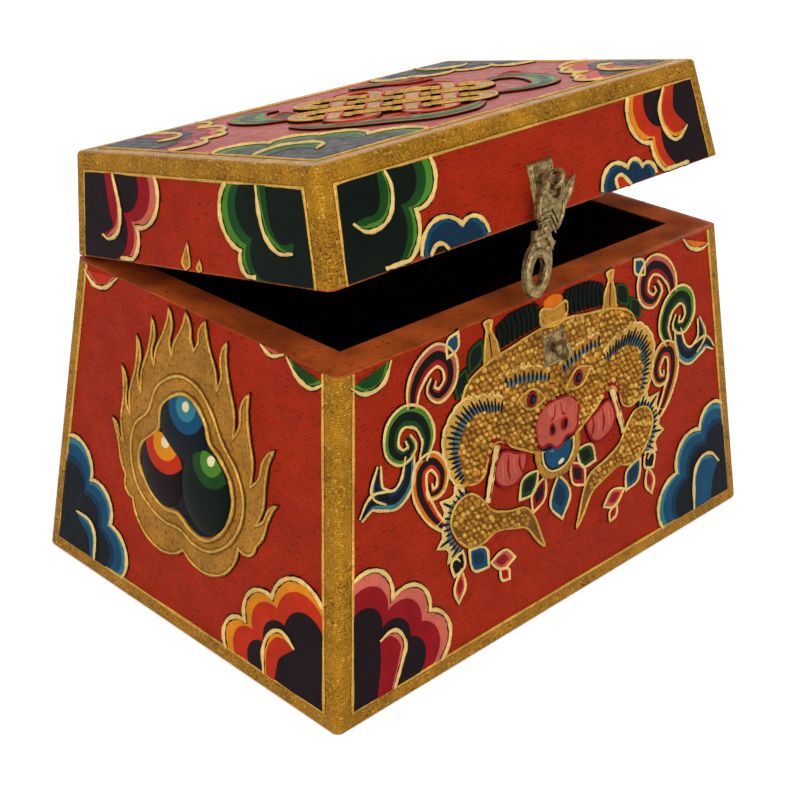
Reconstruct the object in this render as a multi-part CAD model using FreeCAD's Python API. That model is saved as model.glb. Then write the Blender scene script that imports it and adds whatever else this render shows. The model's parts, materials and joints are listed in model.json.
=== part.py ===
import FreeCAD, Part
import math
import os

# Painted wooden chest with leaning walls, a hinged lid standing ajar and a cast hasp.
# Millimetres. Origin at the centre of the underside, +X to the right, -Y to the front, +Z up.
# Every piece is shaped with the lid shut; the lid and its hasp are then turned to where they rest.

# Chest boards
BASE_WIDTH = 200.0
BASE_DEPTH = 147.0
CUT_HEIGHT = 106.0
LID_HEIGHT = 32.0
LEAN_DEG = 7.0
BOARD = 12.0
FLOOR_BOARD = 8.0
LID_BOARD = 10.0
SEAM_GAP = 0.4
LID_AJAR_DEG = 11.0
CORNER_ROUND = 2.5
EDGE_ROUND = 1.5

# Square cut brads, sunk and filled over
BRAD_SHANK = 1.8
BRAD_HEAD = 2.8
BRAD_HEAD_THICKNESS = 0.8
BRAD_LENGTH = 24.0
BRAD_TIP = 0.8
BRAD_SINK = 0.5
CORNER_BRAD_HEIGHTS = (24.0, 53.0, 82.0)
FLOOR_BRAD_SPACING = 60.0
LID_BRAD_SPACING = 60.0

# Two butt hinges screwed on outside the back
HINGE_SHARE = 0.55
LEAF_WIDTH = 25.0
LEAF_REACH = 11.0
LEAF_THICKNESS = 1.0
LEAF_CORNER = 1.5
BARREL = 4.2
BARREL_LIFT = 0.3
KNUCKLES = 5
KNUCKLE_GAP = 0.2
KNUCKLE_CLEARANCE = 0.3
PIN = 2.0
PIN_FIT = 0.05
PIN_HEAD = 3.0
PIN_HEAD_THICKNESS = 0.6

# Hinge screws, countersunk
SCREW_HEAD = 3.6
SCREW_SHANK = 2.0
SCREW_LENGTH = 9.0
SCREW_POINT = 2.5
SCREW_SLOT = 0.5
SCREW_SPACING = 14.0
SCREW_REACH = 7.0

# Hasp plate and staple plate
PLATE_WIDTH = 11.0
PLATE_HEIGHT = 11.5
PLATE_THICKNESS = 1.0
PLATE_BEVEL = 0.5

# Eye that carries the hasp and turns in the lid
EYE_RISE = 10.4
EYE_OUT = 5.4
EYE_RING = 2.6
EYE_WIRE = 1.6
EYE_SHANK = 2.2
EYE_COLLAR = 4.0
SHANK_FIT = 0.06
SHANK_PLAY = 0.1
TAIL_HEAD = 4.6
TAIL_THICKNESS = 0.8

# Staple that the hasp drops over
STAPLE_DROP = 17.6
STAPLE_OUT = 4.5
STAPLE_BORE = 3.6
STAPLE_WALL = 1.4
STAPLE_THICKNESS = 1.6
STAPLE_SHANK = 2.2
STAPLE_EDGE = 0.3

# Hasp, measured from the bar that hangs in the eye
HASP_THICKNESS = 1.8
HASP_LEAN_DEG = 33.0
HASP_BAR = 2.0
HASP_HOLE = 5.0
HASP_HORN_SPREAD = 6.8
HASP_HORN_RISE = 4.0
HASP_CHEST_DROP = 8.0
HASP_CHEST_WIDTH = 11.2
HASP_HEM_DROP = 14.0
HASP_HEM_WIDTH = 8.8
HASP_WAIST_DROP = 15.8
HASP_WAIST_WIDTH = 3.8
HASP_FLARE_DROP = 17.6
HASP_FLARE_WIDTH = 9.0
HASP_NECK_DROP = 20.6
HASP_NECK_WIDTH = 7.2
HASP_LOOP_WIDTH = 10.4
HASP_SLOT_WIDTH = 4.4
HASP_SLOT_LENGTH = 8.6
HASP_TIP = 3.2
HASP_TIP_WIDTH = 6.6
HASP_RIB = 0.9
HASP_RIB_HEIGHT = 0.4
HASP_RIB_SLOPE = 0.75
HASP_RIB_DROPS = (8.2, 10.2, 17.0)

# Raised paste work on the walls and the lid
RELIEF = 1.0
SNOUT_RELIEF = 2.0
JEWEL_DOME = 1.8
RELIEF_CLEARANCE = 0.5
MASK_WIDTH = 100.0
MASK_HEIGHT = 80.0
FLAME_WIDTH = 56.0
FLAME_DROP = 49.0
HALO_HEIGHT = 56.0
FLAME_RISE = 21.0
FLAME_ROOT = 4.0
FLAME_TONGUES = 11
FLAME_SPREAD_DEG = 105.0
JEWEL = 20.0
JEWEL_SPREAD = 22.0
JEWEL_TOP = 12.0
JEWEL_BOTTOM = 6.6
DOME_STEP_DEG = 30
KNOT_STRAND = 4.8
KNOT_PITCH = 12.0
KNOT_STRANDS = 4

# Worked-out sizes
LEAN = math.radians(LEAN_DEG)
LID_BOTTOM = CUT_HEIGHT + SEAM_GAP
LID_TOP = LID_BOTTOM + LID_HEIGHT
RAIL_TOP = LID_TOP - LID_BOARD
WALL_NORMAL = BOARD * math.cos(LEAN)
SEAM_SLOPE = SEAM_GAP / math.cos(LEAN)
HINGE_SPACING = HINGE_SHARE * BASE_WIDTH
PIVOT_OUT = BARREL / 2 + BARREL_LIFT
RING_OUTER = HASP_HOLE / 2 + HASP_BAR
RING_DROP = (HASP_HOLE + HASP_BAR) / 2
SLOT_DROP = EYE_RISE + SEAM_SLOPE + STAPLE_DROP
TIP_DROP = SLOT_DROP + HASP_SLOT_LENGTH / 2 + HASP_TIP
X_AXIS = FreeCAD.Vector(1, 0, 0)
Z_AXIS = FreeCAD.Vector(0, 0, 1)
ORIGIN = FreeCAD.Vector(0, 0, 0)
TOUCH = 1e-6


def point(x, y, z=0.0):
    return FreeCAD.Vector(x, y, z)


def half_width(z):
    return BASE_WIDTH / 2 - z * math.tan(LEAN)


def half_depth(z):
    return BASE_DEPTH / 2 - z * math.tan(LEAN)


def fused(shapes):
    whole = shapes[0].multiFuse(shapes[1:]) if len(shapes) > 1 else shapes[0]
    return whole.removeSplitter()


def grouped(shapes):
    return Part.makeCompound([solid for shape in shapes for solid in shape.Solids])


def drilled(shape, tools):
    """A shape with the tools that reach it taken out of it."""
    for tool in tools:
        if shape.BoundBox.intersect(tool.BoundBox):
            shape = shape.cut(tool)
    return shape


def turned(shape, centre, axis, degrees):
    copy = shape.copy()
    copy.rotate(centre, axis, degrees)
    return copy


def mirrored(shape):
    return shape.mirror(ORIGIN, X_AXIS)


def revolved(profile):
    """A solid turned about Z from (radius, height) points that start and end on the axis."""
    corners = [point(radius, 0, height) for radius, height in profile]
    outline = Part.makePolygon(corners + corners[:1])
    return Part.Face(outline).revolve(ORIGIN, Z_AXIS, 360)


# Leaning boards
def frustum(low, bottom, high, top):
    """A flat-sided solid between two rectangles, each given by its x and y limits."""
    rings = []
    for (x0, x1, y0, y1), z in ((low, bottom), (high, top)):
        rings.append([point(x0, y0, z), point(x1, y0, z), point(x1, y1, z), point(x0, y1, z)])
    under, over = rings
    walls = [[under[i - 1], under[i], over[i], over[i - 1]] for i in range(len(under))]
    faces = [Part.Face(Part.makePolygon(ring + ring[:1])) for ring in [under[::-1], over] + walls]
    return Part.makeSolid(Part.makeShell(faces))


def tapered(bottom, top, bounds):
    """A board between two heights; bounds(z) gives its x and y limits at each."""
    return frustum(bounds(bottom), bottom, bounds(top), top)


def outer_bounds(z):
    return -half_width(z), half_width(z), -half_depth(z), half_depth(z)


def inner_bounds(z):
    return BOARD - half_width(z), half_width(z) - BOARD, BOARD - half_depth(z), half_depth(z) - BOARD


def front_bounds(z):
    return -half_width(z), half_width(z), -half_depth(z), BOARD - half_depth(z)


def back_bounds(z):
    return -half_width(z), half_width(z), half_depth(z) - BOARD, half_depth(z)


def left_bounds(z):
    return -half_width(z), BOARD - half_width(z), BOARD - half_depth(z), half_depth(z) - BOARD


def right_bounds(z):
    return half_width(z) - BOARD, half_width(z), BOARD - half_depth(z), half_depth(z) - BOARD


def rounded_outside(bottom, top, rounded_level):
    """The outside of the chest between two heights, its corners and one rim rounded over."""
    body = tapered(bottom, top, outer_bounds)
    corners = [edge for edge in body.Edges if edge.BoundBox.ZLength > (top - bottom) / 2]
    body = body.makeFillet(CORNER_ROUND, corners)
    rim = [edge for edge in body.Edges
           if edge.BoundBox.ZLength < EDGE_ROUND / 10
           and abs(edge.BoundBox.ZMin - rounded_level) < EDGE_ROUND / 10]
    return body.makeFillet(EDGE_ROUND, rim)


# Wall frames: x to the right along a wall seen from outside, y up its slope, z out of it
def front_frame():
    right, up = X_AXIS, point(0, math.sin(LEAN), math.cos(LEAN))
    seam = point(0, -half_depth(CUT_HEIGHT), CUT_HEIGHT)
    return FreeCAD.Placement(seam, FreeCAD.Rotation(right, up, right.cross(up), "ZXY"))


def back_frame():
    right, up = -X_AXIS, point(0, -math.sin(LEAN), math.cos(LEAN))
    seam = point(0, half_depth(CUT_HEIGHT), CUT_HEIGHT)
    return FreeCAD.Placement(seam, FreeCAD.Rotation(right, up, right.cross(up), "ZXY"))


def placed(shape, frame):
    copy = shape.copy()
    copy.Placement = frame.multiply(copy.Placement)
    return copy


# Brads
def brad():
    """One tapered brad driven down -Z, its head's top at the origin."""
    def square(side):
        return -side / 2, side / 2, -side / 2, side / 2
    neck = -BRAD_HEAD_THICKNESS
    head = frustum(square(BRAD_HEAD), neck, square(BRAD_HEAD), 0)
    return fused([head, frustum(square(BRAD_TIP), -BRAD_LENGTH, square(BRAD_SHANK), neck)])


def driven(x, y, z, direction):
    """A brad sunk below the board's face at (x, y, z) and driven along a direction."""
    way = FreeCAD.Vector(*direction)
    turn = FreeCAD.Rotation(-Z_AXIS, way)
    return placed(brad(), FreeCAD.Placement(point(x, y, z) + way * BRAD_SINK, turn))


def corner_brads(z):
    """Four brads at one height, through the long boards into the ends of the short ones."""
    x = half_width(z) - BOARD / 2
    return [driven(sx * x, -sy * half_depth(z), z, (0, sy, 0)) for sx in (-1, 1) for sy in (-1, 1)]


def floor_brads():
    z = FLOOR_BOARD / 2
    reach = FLOOR_BRAD_SPACING
    along = [driven(x, -sy * half_depth(z), z, (0, sy, 0)) for x in (-reach, 0, reach) for sy in (-1, 1)]
    across = [driven(-sx * half_width(z), y, z, (sx, 0, 0))
              for y in (-reach / 2, reach / 2) for sx in (-1, 1)]
    return along + across


def lid_top_brads():
    x = half_width(RAIL_TOP) - BOARD / 2
    y = half_depth(RAIL_TOP) - BOARD / 2
    reach = LID_BRAD_SPACING / 2
    spots = [(sx * reach, sy * y) for sx in (-1, 1) for sy in (-1, 1)] + [(-x, 0), (x, 0)]
    return [driven(spot_x, spot_y, LID_TOP, (0, 0, -1)) for spot_x, spot_y in spots]


# Hinges, shaped on the back wall's frame
def knuckle(index, radius, gap):
    length = LEAF_WIDTH / KNUCKLES
    start = index * length - LEAF_WIDTH / 2 + gap
    return Part.makeCylinder(radius, length - 2 * gap, point(start, SEAM_SLOPE / 2, PIVOT_OUT), X_AXIS)


def leaf(side, first):
    """A leaf reaching up (side 1) or down (side -1), with every second knuckle from the first."""
    plate = Part.makeBox(LEAF_WIDTH, LEAF_REACH, LEAF_THICKNESS,
                         point(-LEAF_WIDTH / 2, SEAM_SLOPE / 2 - (LEAF_REACH if side < 0 else 0), 0))
    far = SEAM_SLOPE / 2 + side * LEAF_REACH
    ends = [edge for edge in plate.Edges
            if edge.BoundBox.ZLength > LEAF_THICKNESS / 2 and abs(edge.CenterOfMass.y - far) < LEAF_CORNER]
    plate = plate.makeFillet(LEAF_CORNER, ends)
    own = range(first, KNUCKLES, 2)
    other = range(1 - first, KNUCKLES, 2)
    bore = Part.makeCylinder(PIN / 2 + PIN_FIT, LEAF_WIDTH,
                             point(-LEAF_WIDTH / 2, SEAM_SLOPE / 2, PIVOT_OUT), X_AXIS)
    for index in other:
        plate = plate.cut(knuckle(index, BARREL / 2 + KNUCKLE_CLEARANCE, -KNUCKLE_GAP / 2))
    whole = fused([plate] + [knuckle(index, BARREL / 2, KNUCKLE_GAP / 2) for index in own])
    return drilled(whole, [bore] + [screw_body(x, y) for x, y in leaf_screws(side)])


def leaf_screws(side):
    y = SEAM_SLOPE / 2 + side * SCREW_REACH
    return [(-SCREW_SPACING / 2, y), (SCREW_SPACING / 2, y)]


def screw_body(x, y):
    """A countersunk screw whose head lies flush with the leaf."""
    cone = (SCREW_HEAD - SCREW_SHANK) / 2
    top = LEAF_THICKNESS
    shape = revolved([(0, top), (SCREW_HEAD / 2, top), (SCREW_SHANK / 2, top - cone),
                      (SCREW_SHANK / 2, top - SCREW_LENGTH + SCREW_POINT), (0, top - SCREW_LENGTH)])
    shape.translate(point(x, y, 0))
    return shape


def slotted(screw):
    box = screw.BoundBox
    slot = Part.makeBox(SCREW_HEAD, SCREW_SLOT, SCREW_SLOT,
                        point(box.Center.x - SCREW_HEAD / 2, box.Center.y - SCREW_SLOT / 2,
                              LEAF_THICKNESS - SCREW_SLOT))
    return screw.cut(slot)


def hinge_pin():
    """A pin with a flat head at each end of the barrel."""
    half = LEAF_WIDTH / 2
    shaft = Part.makeCylinder(PIN / 2, LEAF_WIDTH, point(-half, 0, 0), X_AXIS)
    heads = [Part.makeCylinder(PIN_HEAD / 2, PIN_HEAD_THICKNESS, point(start, 0, 0), X_AXIS)
             for start in (-half - PIN_HEAD_THICKNESS, half)]
    pin = fused([shaft] + heads)
    pin.translate(point(0, SEAM_SLOPE / 2, PIVOT_OUT))
    return pin


def hinge_frame(side):
    """The back wall's frame moved to the hinge at the chest's left (-1) or right (1)."""
    shift = FreeCAD.Placement(point(-side * HINGE_SPACING / 2, 0, 0), FreeCAD.Rotation())
    return back_frame().multiply(shift)


# Hasp, eye, staple and their plates, shaped on the front wall's frame
def plate(centre_y, bore):
    def limits(inset):
        half_x, half_y = PLATE_WIDTH / 2 - inset, PLATE_HEIGHT / 2 - inset
        return -half_x, half_x, centre_y - half_y, centre_y + half_y
    body = frustum(limits(0), 0, limits(PLATE_BEVEL), PLATE_THICKNESS)
    return body.cut(Part.makeCylinder(bore / 2, 2 * PLATE_THICKNESS,
                                      point(0, centre_y, -PLATE_THICKNESS / 2)))


def shank_hole(centre_y, bore):
    return Part.makeCylinder(bore / 2, 3 * WALL_NORMAL, point(0, centre_y, -2 * WALL_NORMAL))


def tail(shank, centre_y, play):
    """A shank through the board, from its head peened over inside to the face of the plate."""
    inside = -WALL_NORMAL - play
    rod = Part.makeCylinder(shank / 2, PLATE_THICKNESS - inside, point(0, centre_y, inside))
    head = Part.makeCylinder(TAIL_HEAD / 2, TAIL_THICKNESS, point(0, centre_y, inside - TAIL_THICKNESS))
    return [rod, head]


EYE_Y = SEAM_SLOPE + EYE_RISE


def hasp_eye():
    ring = Part.makeTorus(EYE_RING, EYE_WIRE / 2, point(0, EYE_Y, EYE_OUT), X_AXIS)
    collar_start = PLATE_THICKNESS + SHANK_PLAY
    collar = Part.makeCylinder(EYE_COLLAR / 2, EYE_OUT - EYE_RING - collar_start,
                               point(0, EYE_Y, collar_start))
    neck = Part.makeCylinder(EYE_SHANK / 2, EYE_OUT - EYE_RING - PLATE_THICKNESS,
                             point(0, EYE_Y, PLATE_THICKNESS))
    hollow = Part.makeCylinder(EYE_RING - EYE_WIRE / 2, EYE_COLLAR,
                               point(-EYE_COLLAR / 2, EYE_Y, EYE_OUT), X_AXIS)
    return fused([ring, collar.cut(hollow), neck] + tail(EYE_SHANK, EYE_Y, SHANK_PLAY))


def staple():
    outer = STAPLE_BORE / 2 + STAPLE_WALL
    start = point(-STAPLE_THICKNESS / 2, -STAPLE_DROP, STAPLE_OUT)
    ring = Part.makeCylinder(outer, STAPLE_THICKNESS, start, X_AXIS)
    ring = ring.makeChamfer(STAPLE_EDGE, [edge for edge in ring.Edges if edge.Closed])
    neck = Part.makeCylinder(STAPLE_SHANK / 2, STAPLE_OUT - PLATE_THICKNESS,
                             point(0, -STAPLE_DROP, PLATE_THICKNESS))
    bore = Part.makeCylinder(STAPLE_BORE / 2, 2 * STAPLE_SHANK,
                             point(-STAPLE_SHANK, -STAPLE_DROP, STAPLE_OUT), X_AXIS)
    return fused([ring, neck] + tail(STAPLE_SHANK, -STAPLE_DROP, 0)).cut(bore)


def arc_face(*spans):
    """A flat face bounded by spans, arcs of three points or lines of two, and closed by straight lines."""
    edges = []
    for span in spans:
        start, *middle, end = [point(x, y) for x, y in span]
        if edges and (edges[-1].Vertexes[-1].Point - start).Length > TOUCH:
            edges.append(Part.makeLine(edges[-1].Vertexes[-1].Point, start))
        edges.append(Part.Arc(start, *middle, end).toShape() if middle else Part.makeLine(start, end))
    first, last = edges[0].Vertexes[0].Point, edges[-1].Vertexes[-1].Point
    if (first - last).Length > TOUCH:
        edges.append(Part.makeLine(last, first))
    return Part.Face(Part.Wire(edges))


def disc(x, y, radius):
    return Part.Face(Part.Wire(Part.makeCircle(radius, point(x, y))))


def hasp_horn():
    """The single horn that rises from the ring's right shoulder."""
    spread, rise = HASP_HORN_SPREAD, HASP_HORN_RISE
    chest = HASP_CHEST_WIDTH / 2
    return arc_face([(chest, -HASP_CHEST_DROP), (spread * 0.92, -RING_DROP / 3), (spread, rise)],
                    [(spread, rise), (spread * 0.74, rise * 0.4), (RING_OUTER * 0.8, -RING_DROP)])


def hasp_half():
    """Right half of the outline: chest, hem, waist, flared collar, slotted end and rounded point."""
    chest, hem, waist, flare, neck, loop, tip = [width / 2 for width in (
        HASP_CHEST_WIDTH, HASP_HEM_WIDTH, HASP_WAIST_WIDTH, HASP_FLARE_WIDTH, HASP_NECK_WIDTH,
        HASP_LOOP_WIDTH, HASP_TIP_WIDTH)]
    scoop = (HASP_HEM_DROP + HASP_WAIST_DROP) / 2
    rise = (HASP_WAIST_DROP + HASP_FLARE_DROP) / 2
    tip_drop = TIP_DROP - HASP_TIP / 2
    return arc_face([(0, -RING_DROP), (RING_OUTER, -RING_DROP)],
                    [(RING_OUTER, -RING_DROP), (chest, -HASP_CHEST_DROP), (hem, -HASP_HEM_DROP)],
                    [(hem, -HASP_HEM_DROP), (waist * 1.4, -scoop + HASP_RIB / 4), (waist, -HASP_WAIST_DROP)],
                    [(waist, -HASP_WAIST_DROP), (waist * 1.4, -rise - HASP_RIB / 4),
                     (flare, -HASP_FLARE_DROP)],
                    [(flare, -HASP_FLARE_DROP), (flare * 0.95, -HASP_FLARE_DROP - HASP_RIB),
                     (neck, -HASP_NECK_DROP)],
                    [(neck, -HASP_NECK_DROP), (loop, -SLOT_DROP), (tip, -tip_drop)],
                    [(tip, -tip_drop), (tip * 0.7, -TIP_DROP + HASP_RIB / 2), (0, -TIP_DROP)])


def hasp_rib(drop):
    """Right half of a raised chevron that points up."""
    reach = HASP_WAIST_WIDTH
    fall = reach * HASP_RIB_SLOPE
    return arc_face([(0, -drop), (reach, -drop - fall)],
                    [(reach, -drop - fall - HASP_RIB), (0, -drop - HASP_RIB)])


def slot_face():
    half = HASP_SLOT_WIDTH / 2
    straight = HASP_SLOT_LENGTH / 2 - half
    top, bottom = straight - SLOT_DROP, -straight - SLOT_DROP
    return arc_face([(half, top), (0, top + half), (-half, top)],
                    [(-half, bottom), (0, bottom - half), (half, bottom)])


def hasp():
    """The cast hasp, its bar's centre at the origin and its slotted end down -Y."""
    thick = point(0, 0, HASP_THICKNESS)
    raised = point(0, 0, HASP_THICKNESS + HASP_RIB_HEIGHT)
    half = [hasp_half().extrude(thick)] + [hasp_rib(drop).extrude(raised) for drop in HASP_RIB_DROPS]
    ring = disc(0, -RING_DROP, RING_OUTER).extrude(thick)
    body = fused([ring, hasp_horn().extrude(thick)] + half + [mirrored(shape) for shape in half])
    holes = [disc(0, -RING_DROP, HASP_HOLE / 2).extrude(thick), slot_face().extrude(thick)]
    body = drilled(body, holes)
    body.translate(point(0, 0, -HASP_THICKNESS / 2))
    return body


# Raised paste work, shaped on a wall's frame below the seam
def side_frame(side):
    """The left (-1) or right (1) wall's frame."""
    right, up = point(0, side, 0), point(-side * math.sin(LEAN), 0, math.cos(LEAN))
    seam = point(side * half_width(CUT_HEIGHT), 0, CUT_HEIGHT)
    return FreeCAD.Placement(seam, FreeCAD.Rotation(right, up, right.cross(up), "ZXY"))


def oval(wide, high):
    curve = Part.Ellipse(ORIGIN, max(wide, high) / 2, min(wide, high) / 2)
    face = Part.Face(Part.Wire(curve.toShape()))
    return turned(face, ORIGIN, Z_AXIS, 90 if high > wide else 0)


def mask_face(*spans):
    """A face of the mask; points are shares of its width to the right and of its height below the seam."""
    return arc_face(*[[(x * MASK_WIDTH, -y * MASK_HEIGHT) for x, y in span] for span in spans])


def petal(root, right, tip, left):
    return mask_face([root, right, tip], [tip, left, root])


def mask_face_half():
    """Right half of the scaled face, from the brow round the cheek to the chin."""
    return mask_face([(0, 0.12), (0.18, 0.145), (0.34, 0.18)], [(0.34, 0.18), (0.48, 0.25), (0.515, 0.42)],
                     [(0.515, 0.42), (0.49, 0.56), (0.42, 0.585)],
                     [(0.42, 0.585), (0.37, 0.51), (0.29, 0.475)],
                     [(0.29, 0.475), (0.20, 0.555), (0.12, 0.60)], [(0.12, 0.60), (0.06, 0.64), (0, 0.65)])


def mask_crown_half():
    """Right half of the crown: jewel cup, combed hair, horn and ear tuft."""
    cup = mask_face([(0, 0.012), (0.055, 0.02), (0.07, 0.07)], [(0.07, 0.07), (0.074, 0.11), (0.06, 0.16)],
                    [(0.06, 0.16), (0, 0.16)])
    hair = mask_face([(0.05, 0.14), (0.06, 0.012)], [(0.06, 0.012), (0.17, 0.016), (0.25, 0.05)],
                     [(0.25, 0.05), (0.25, 0.17)])
    horn = mask_face([(0.245, 0.18), (0.28, 0.09), (0.295, 0.012)],
                     [(0.295, 0.012), (0.31, 0.1), (0.34, 0.19)])
    tuft = mask_face([(0.34, 0.2), (0.33, 0.13), (0.34, 0.08)], [(0.34, 0.08), (0.41, 0.10), (0.43, 0.22)])
    return [cup, hair, horn, tuft]


def mask_mouth_half():
    """Right half of the mouth: lips, the hand at its corner, the rod it grips and the petals below."""
    lips = mask_face([(0, 0.785), (0.085, 0.735), (0.135, 0.585)], [(0.135, 0.585), (0, 0.585)])
    hand = mask_face([(0.13, 0.60), (0.20, 0.52), (0.29, 0.46)], [(0.29, 0.46), (0.325, 0.56), (0.26, 0.69)],
                     [(0.26, 0.69), (0.20, 0.71), (0.15, 0.69)])
    rod = mask_face([(0.255, 0.49), (0.285, 0.47)], [(0.285, 0.47), (0.36, 0.73)],
                    [(0.36, 0.73), (0.33, 0.74)])
    middle_petal = mask_face([(0, 0.75), (0.042, 0.85), (0, 0.94)])
    petals = [petal((0.09, 0.71), (0.15, 0.73), (0.18, 0.80), (0.12, 0.79)),
              petal((0.05, 0.73), (0.11, 0.79), (0.12, 0.87), (0.06, 0.84))]
    return [lips, hand, rod, middle_petal] + petals


def mask_paw():
    """Right paw with its long claw, its mane and the scarf ends that hang from it."""
    paw = mask_face([(0.46, 0.66), (0.40, 0.645), (0.35, 0.70)], [(0.35, 0.70), (0.28, 0.775), (0.17, 0.82)],
                    [(0.17, 0.82), (0.12, 0.89), (0.08, 1.03)], [(0.08, 1.03), (0.15, 0.925), (0.22, 0.88)],
                    [(0.22, 0.88), (0.30, 0.86), (0.36, 0.87)], [(0.36, 0.87), (0.44, 0.87), (0.49, 0.75)],
                    [(0.49, 0.75), (0.485, 0.70), (0.46, 0.66)])
    mane = mask_face([(0.43, 0.62), (0.54, 0.69), (0.45, 0.92)], [(0.45, 0.92), (0.47, 0.76), (0.43, 0.62)])
    ends = [petal((0.45, 0.84), (0.51, 0.89), (0.49, 0.96), (0.44, 0.91)),
            petal((0.42, 0.85), (0.38, 0.95), (0.31, 0.94), (0.34, 0.87)),
            petal((0.465, 0.92), (0.495, 1.0), (0.47, 1.07), (0.44, 1.0)),
            petal((0.345, 0.92), (0.30, 1.02), (0.23, 1.03), (0.26, 0.95))]
    return [paw, mane] + ends


def mask_relief():
    """A scaled lion mask with horns, a crown of hair, paws and a petal pendant."""
    right = [mask_face_half()] + mask_crown_half() + mask_mouth_half() + mask_paw()
    flat = [face.extrude(point(0, 0, RELIEF)) for face in right]
    snout = mask_face([(0, 0.41), (0.07, 0.39), (0.115, 0.47)], [(0.115, 0.47), (0.10, 0.575), (0.03, 0.615)],
                      [(0.03, 0.615), (0, 0.605)])
    half = flat + [snout.extrude(point(0, 0, SNOUT_RELIEF))]
    whole = fused(half + [mirrored(shape) for shape in half])
    room_x, room_y = [size + 2 * RELIEF_CLEARANCE for size in (PLATE_WIDTH, PLATE_HEIGHT)]
    return whole.cut(Part.makeBox(room_x, room_y, 2 * SNOUT_RELIEF,
                                  point(-room_x / 2, -STAPLE_DROP - room_y / 2, -SNOUT_RELIEF / 2)))


def flame_tongue(angle):
    """One tongue of flame rising from the rim of the halo at an angle from straight up."""
    out_x, out_y = math.sin(angle), math.cos(angle)
    root_x, root_y = (FLAME_WIDTH / 2 - FLAME_ROOT) * out_x, (HALO_HEIGHT / 2 - FLAME_ROOT) * out_y
    reach = FLAME_RISE * (1 + out_y) / 2
    tip = (root_x + reach * out_x / 2, root_y + reach)
    near, far = root_x - FLAME_ROOT, root_x + FLAME_ROOT
    foot = root_y - FLAME_ROOT
    return arc_face([(near, foot), (root_x - FLAME_ROOT / 2, root_y + reach / 2), tip],
                    [tip, (far, root_y + reach / 3), (far, foot)])


def jewel(x, y):
    """A shallow dome standing on the halo."""
    radius = JEWEL / 2
    tops = [math.radians(DOME_STEP_DEG * i) for i in range(1, int(90 / DOME_STEP_DEG))]
    slope = [(radius * math.cos(a), RELIEF + JEWEL_DOME * math.sin(a)) for a in tops]
    shape = revolved([(0, 0), (radius, 0), (radius, RELIEF)] + slope + [(0, RELIEF + JEWEL_DOME)])
    shape.translate(point(x, y, 0))
    return shape


def jewel_relief():
    """Three jewels in a halo of flame, two below and one above."""
    spread = math.radians(FLAME_SPREAD_DEG)
    angles = [spread * (2 * i / (FLAME_TONGUES - 1) - 1) for i in range(FLAME_TONGUES)]
    faces = [oval(FLAME_WIDTH, HALO_HEIGHT)] + [flame_tongue(angle) for angle in angles]
    side = JEWEL_SPREAD / 2
    jewels = [jewel(-side, -JEWEL_BOTTOM), jewel(side, -JEWEL_BOTTOM), jewel(0, JEWEL_TOP)]
    whole = fused([face.extrude(point(0, 0, RELIEF)) for face in faces] + jewels)
    whole.translate(point(0, -FLAME_DROP, 0))
    return whole


def knot_relief():
    """An endless knot: crossed strands whose neighbours are joined by loops at their ends."""
    pitch, strand = KNOT_PITCH, KNOT_STRAND
    half = (KNOT_STRANDS - 1) * pitch / 2
    lines = [i * pitch - half for i in range(KNOT_STRANDS)]
    reach = half + pitch / 2
    bars = [Part.makeBox(strand, 2 * reach, RELIEF, point(x - strand / 2, -reach, 0)) for x in lines]
    loops = []
    for low in range(0, KNOT_STRANDS, 2):
        x = lines[low] + pitch / 2
        outer, inner = (pitch + strand) / 2, (pitch - strand) / 2
        bend = arc_face([(x - outer, reach), (x, reach + outer), (x + outer, reach)],
                        [(x + inner, reach), (x, reach + inner), (x - inner, reach)])
        loops.append(bend.extrude(point(0, 0, RELIEF)))
    arm = bars + loops + [turned(loop, ORIGIN, Z_AXIS, 180) for loop in loops]
    whole = fused(arm + [turned(shape, ORIGIN, Z_AXIS, 90) for shape in arm])
    whole.rotate(ORIGIN, Z_AXIS, 45)
    return whole


# Assembly with the lid shut
base_brads = [one for z in CORNER_BRAD_HEIGHTS for one in corner_brads(z)] + floor_brads()
lid_brads = corner_brads((LID_BOTTOM + RAIL_TOP) / 2) + lid_top_brads()
front, back = front_frame(), back_frame()
sides = {"left": -1, "right": 1}
base_screws = [placed(screw_body(x, y), hinge_frame(side))
               for side in sides.values() for x, y in leaf_screws(-1)]
lid_screws = [placed(screw_body(x, y), hinge_frame(side))
              for side in sides.values() for x, y in leaf_screws(1)]
staple_hole = placed(shank_hole(-STAPLE_DROP, STAPLE_SHANK), front)
eye_hole = placed(shank_hole(EYE_Y, EYE_SHANK + 2 * SHANK_FIT), front)

base_outside = rounded_outside(0, CUT_HEIGHT, 0)
lid_outside = rounded_outside(LID_BOTTOM, LID_TOP, LID_TOP)


def board(bottom, top, bounds, outside, holes):
    return drilled(tapered(bottom, top, bounds).common(outside).Solids[0], holes)


base_nodes = {
    "base_front_board": board(0, CUT_HEIGHT, front_bounds, base_outside, base_brads + [staple_hole]),
    "base_back_board": board(0, CUT_HEIGHT, back_bounds, base_outside, base_brads + base_screws),
    "base_left_board": board(0, CUT_HEIGHT, left_bounds, base_outside, base_brads),
    "base_right_board": board(0, CUT_HEIGHT, right_bounds, base_outside, base_brads),
    "base_bottom_board": drilled(tapered(0, FLOOR_BOARD, inner_bounds), base_brads),
    "base_brads": grouped(base_brads),
    "staple_plate": placed(plate(-STAPLE_DROP, STAPLE_SHANK), front),
    "staple": placed(staple(), front),
    "front_mask_relief": placed(mask_relief(), front),
    "left_jewel_relief": placed(jewel_relief(), side_frame(-1)),
    "right_jewel_relief": placed(jewel_relief(), side_frame(1)),
    "hinge_base_screws": grouped([placed(slotted(screw_body(x, y)), hinge_frame(side))
                                  for side in sides.values() for x, y in leaf_screws(-1)]),
}
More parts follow.
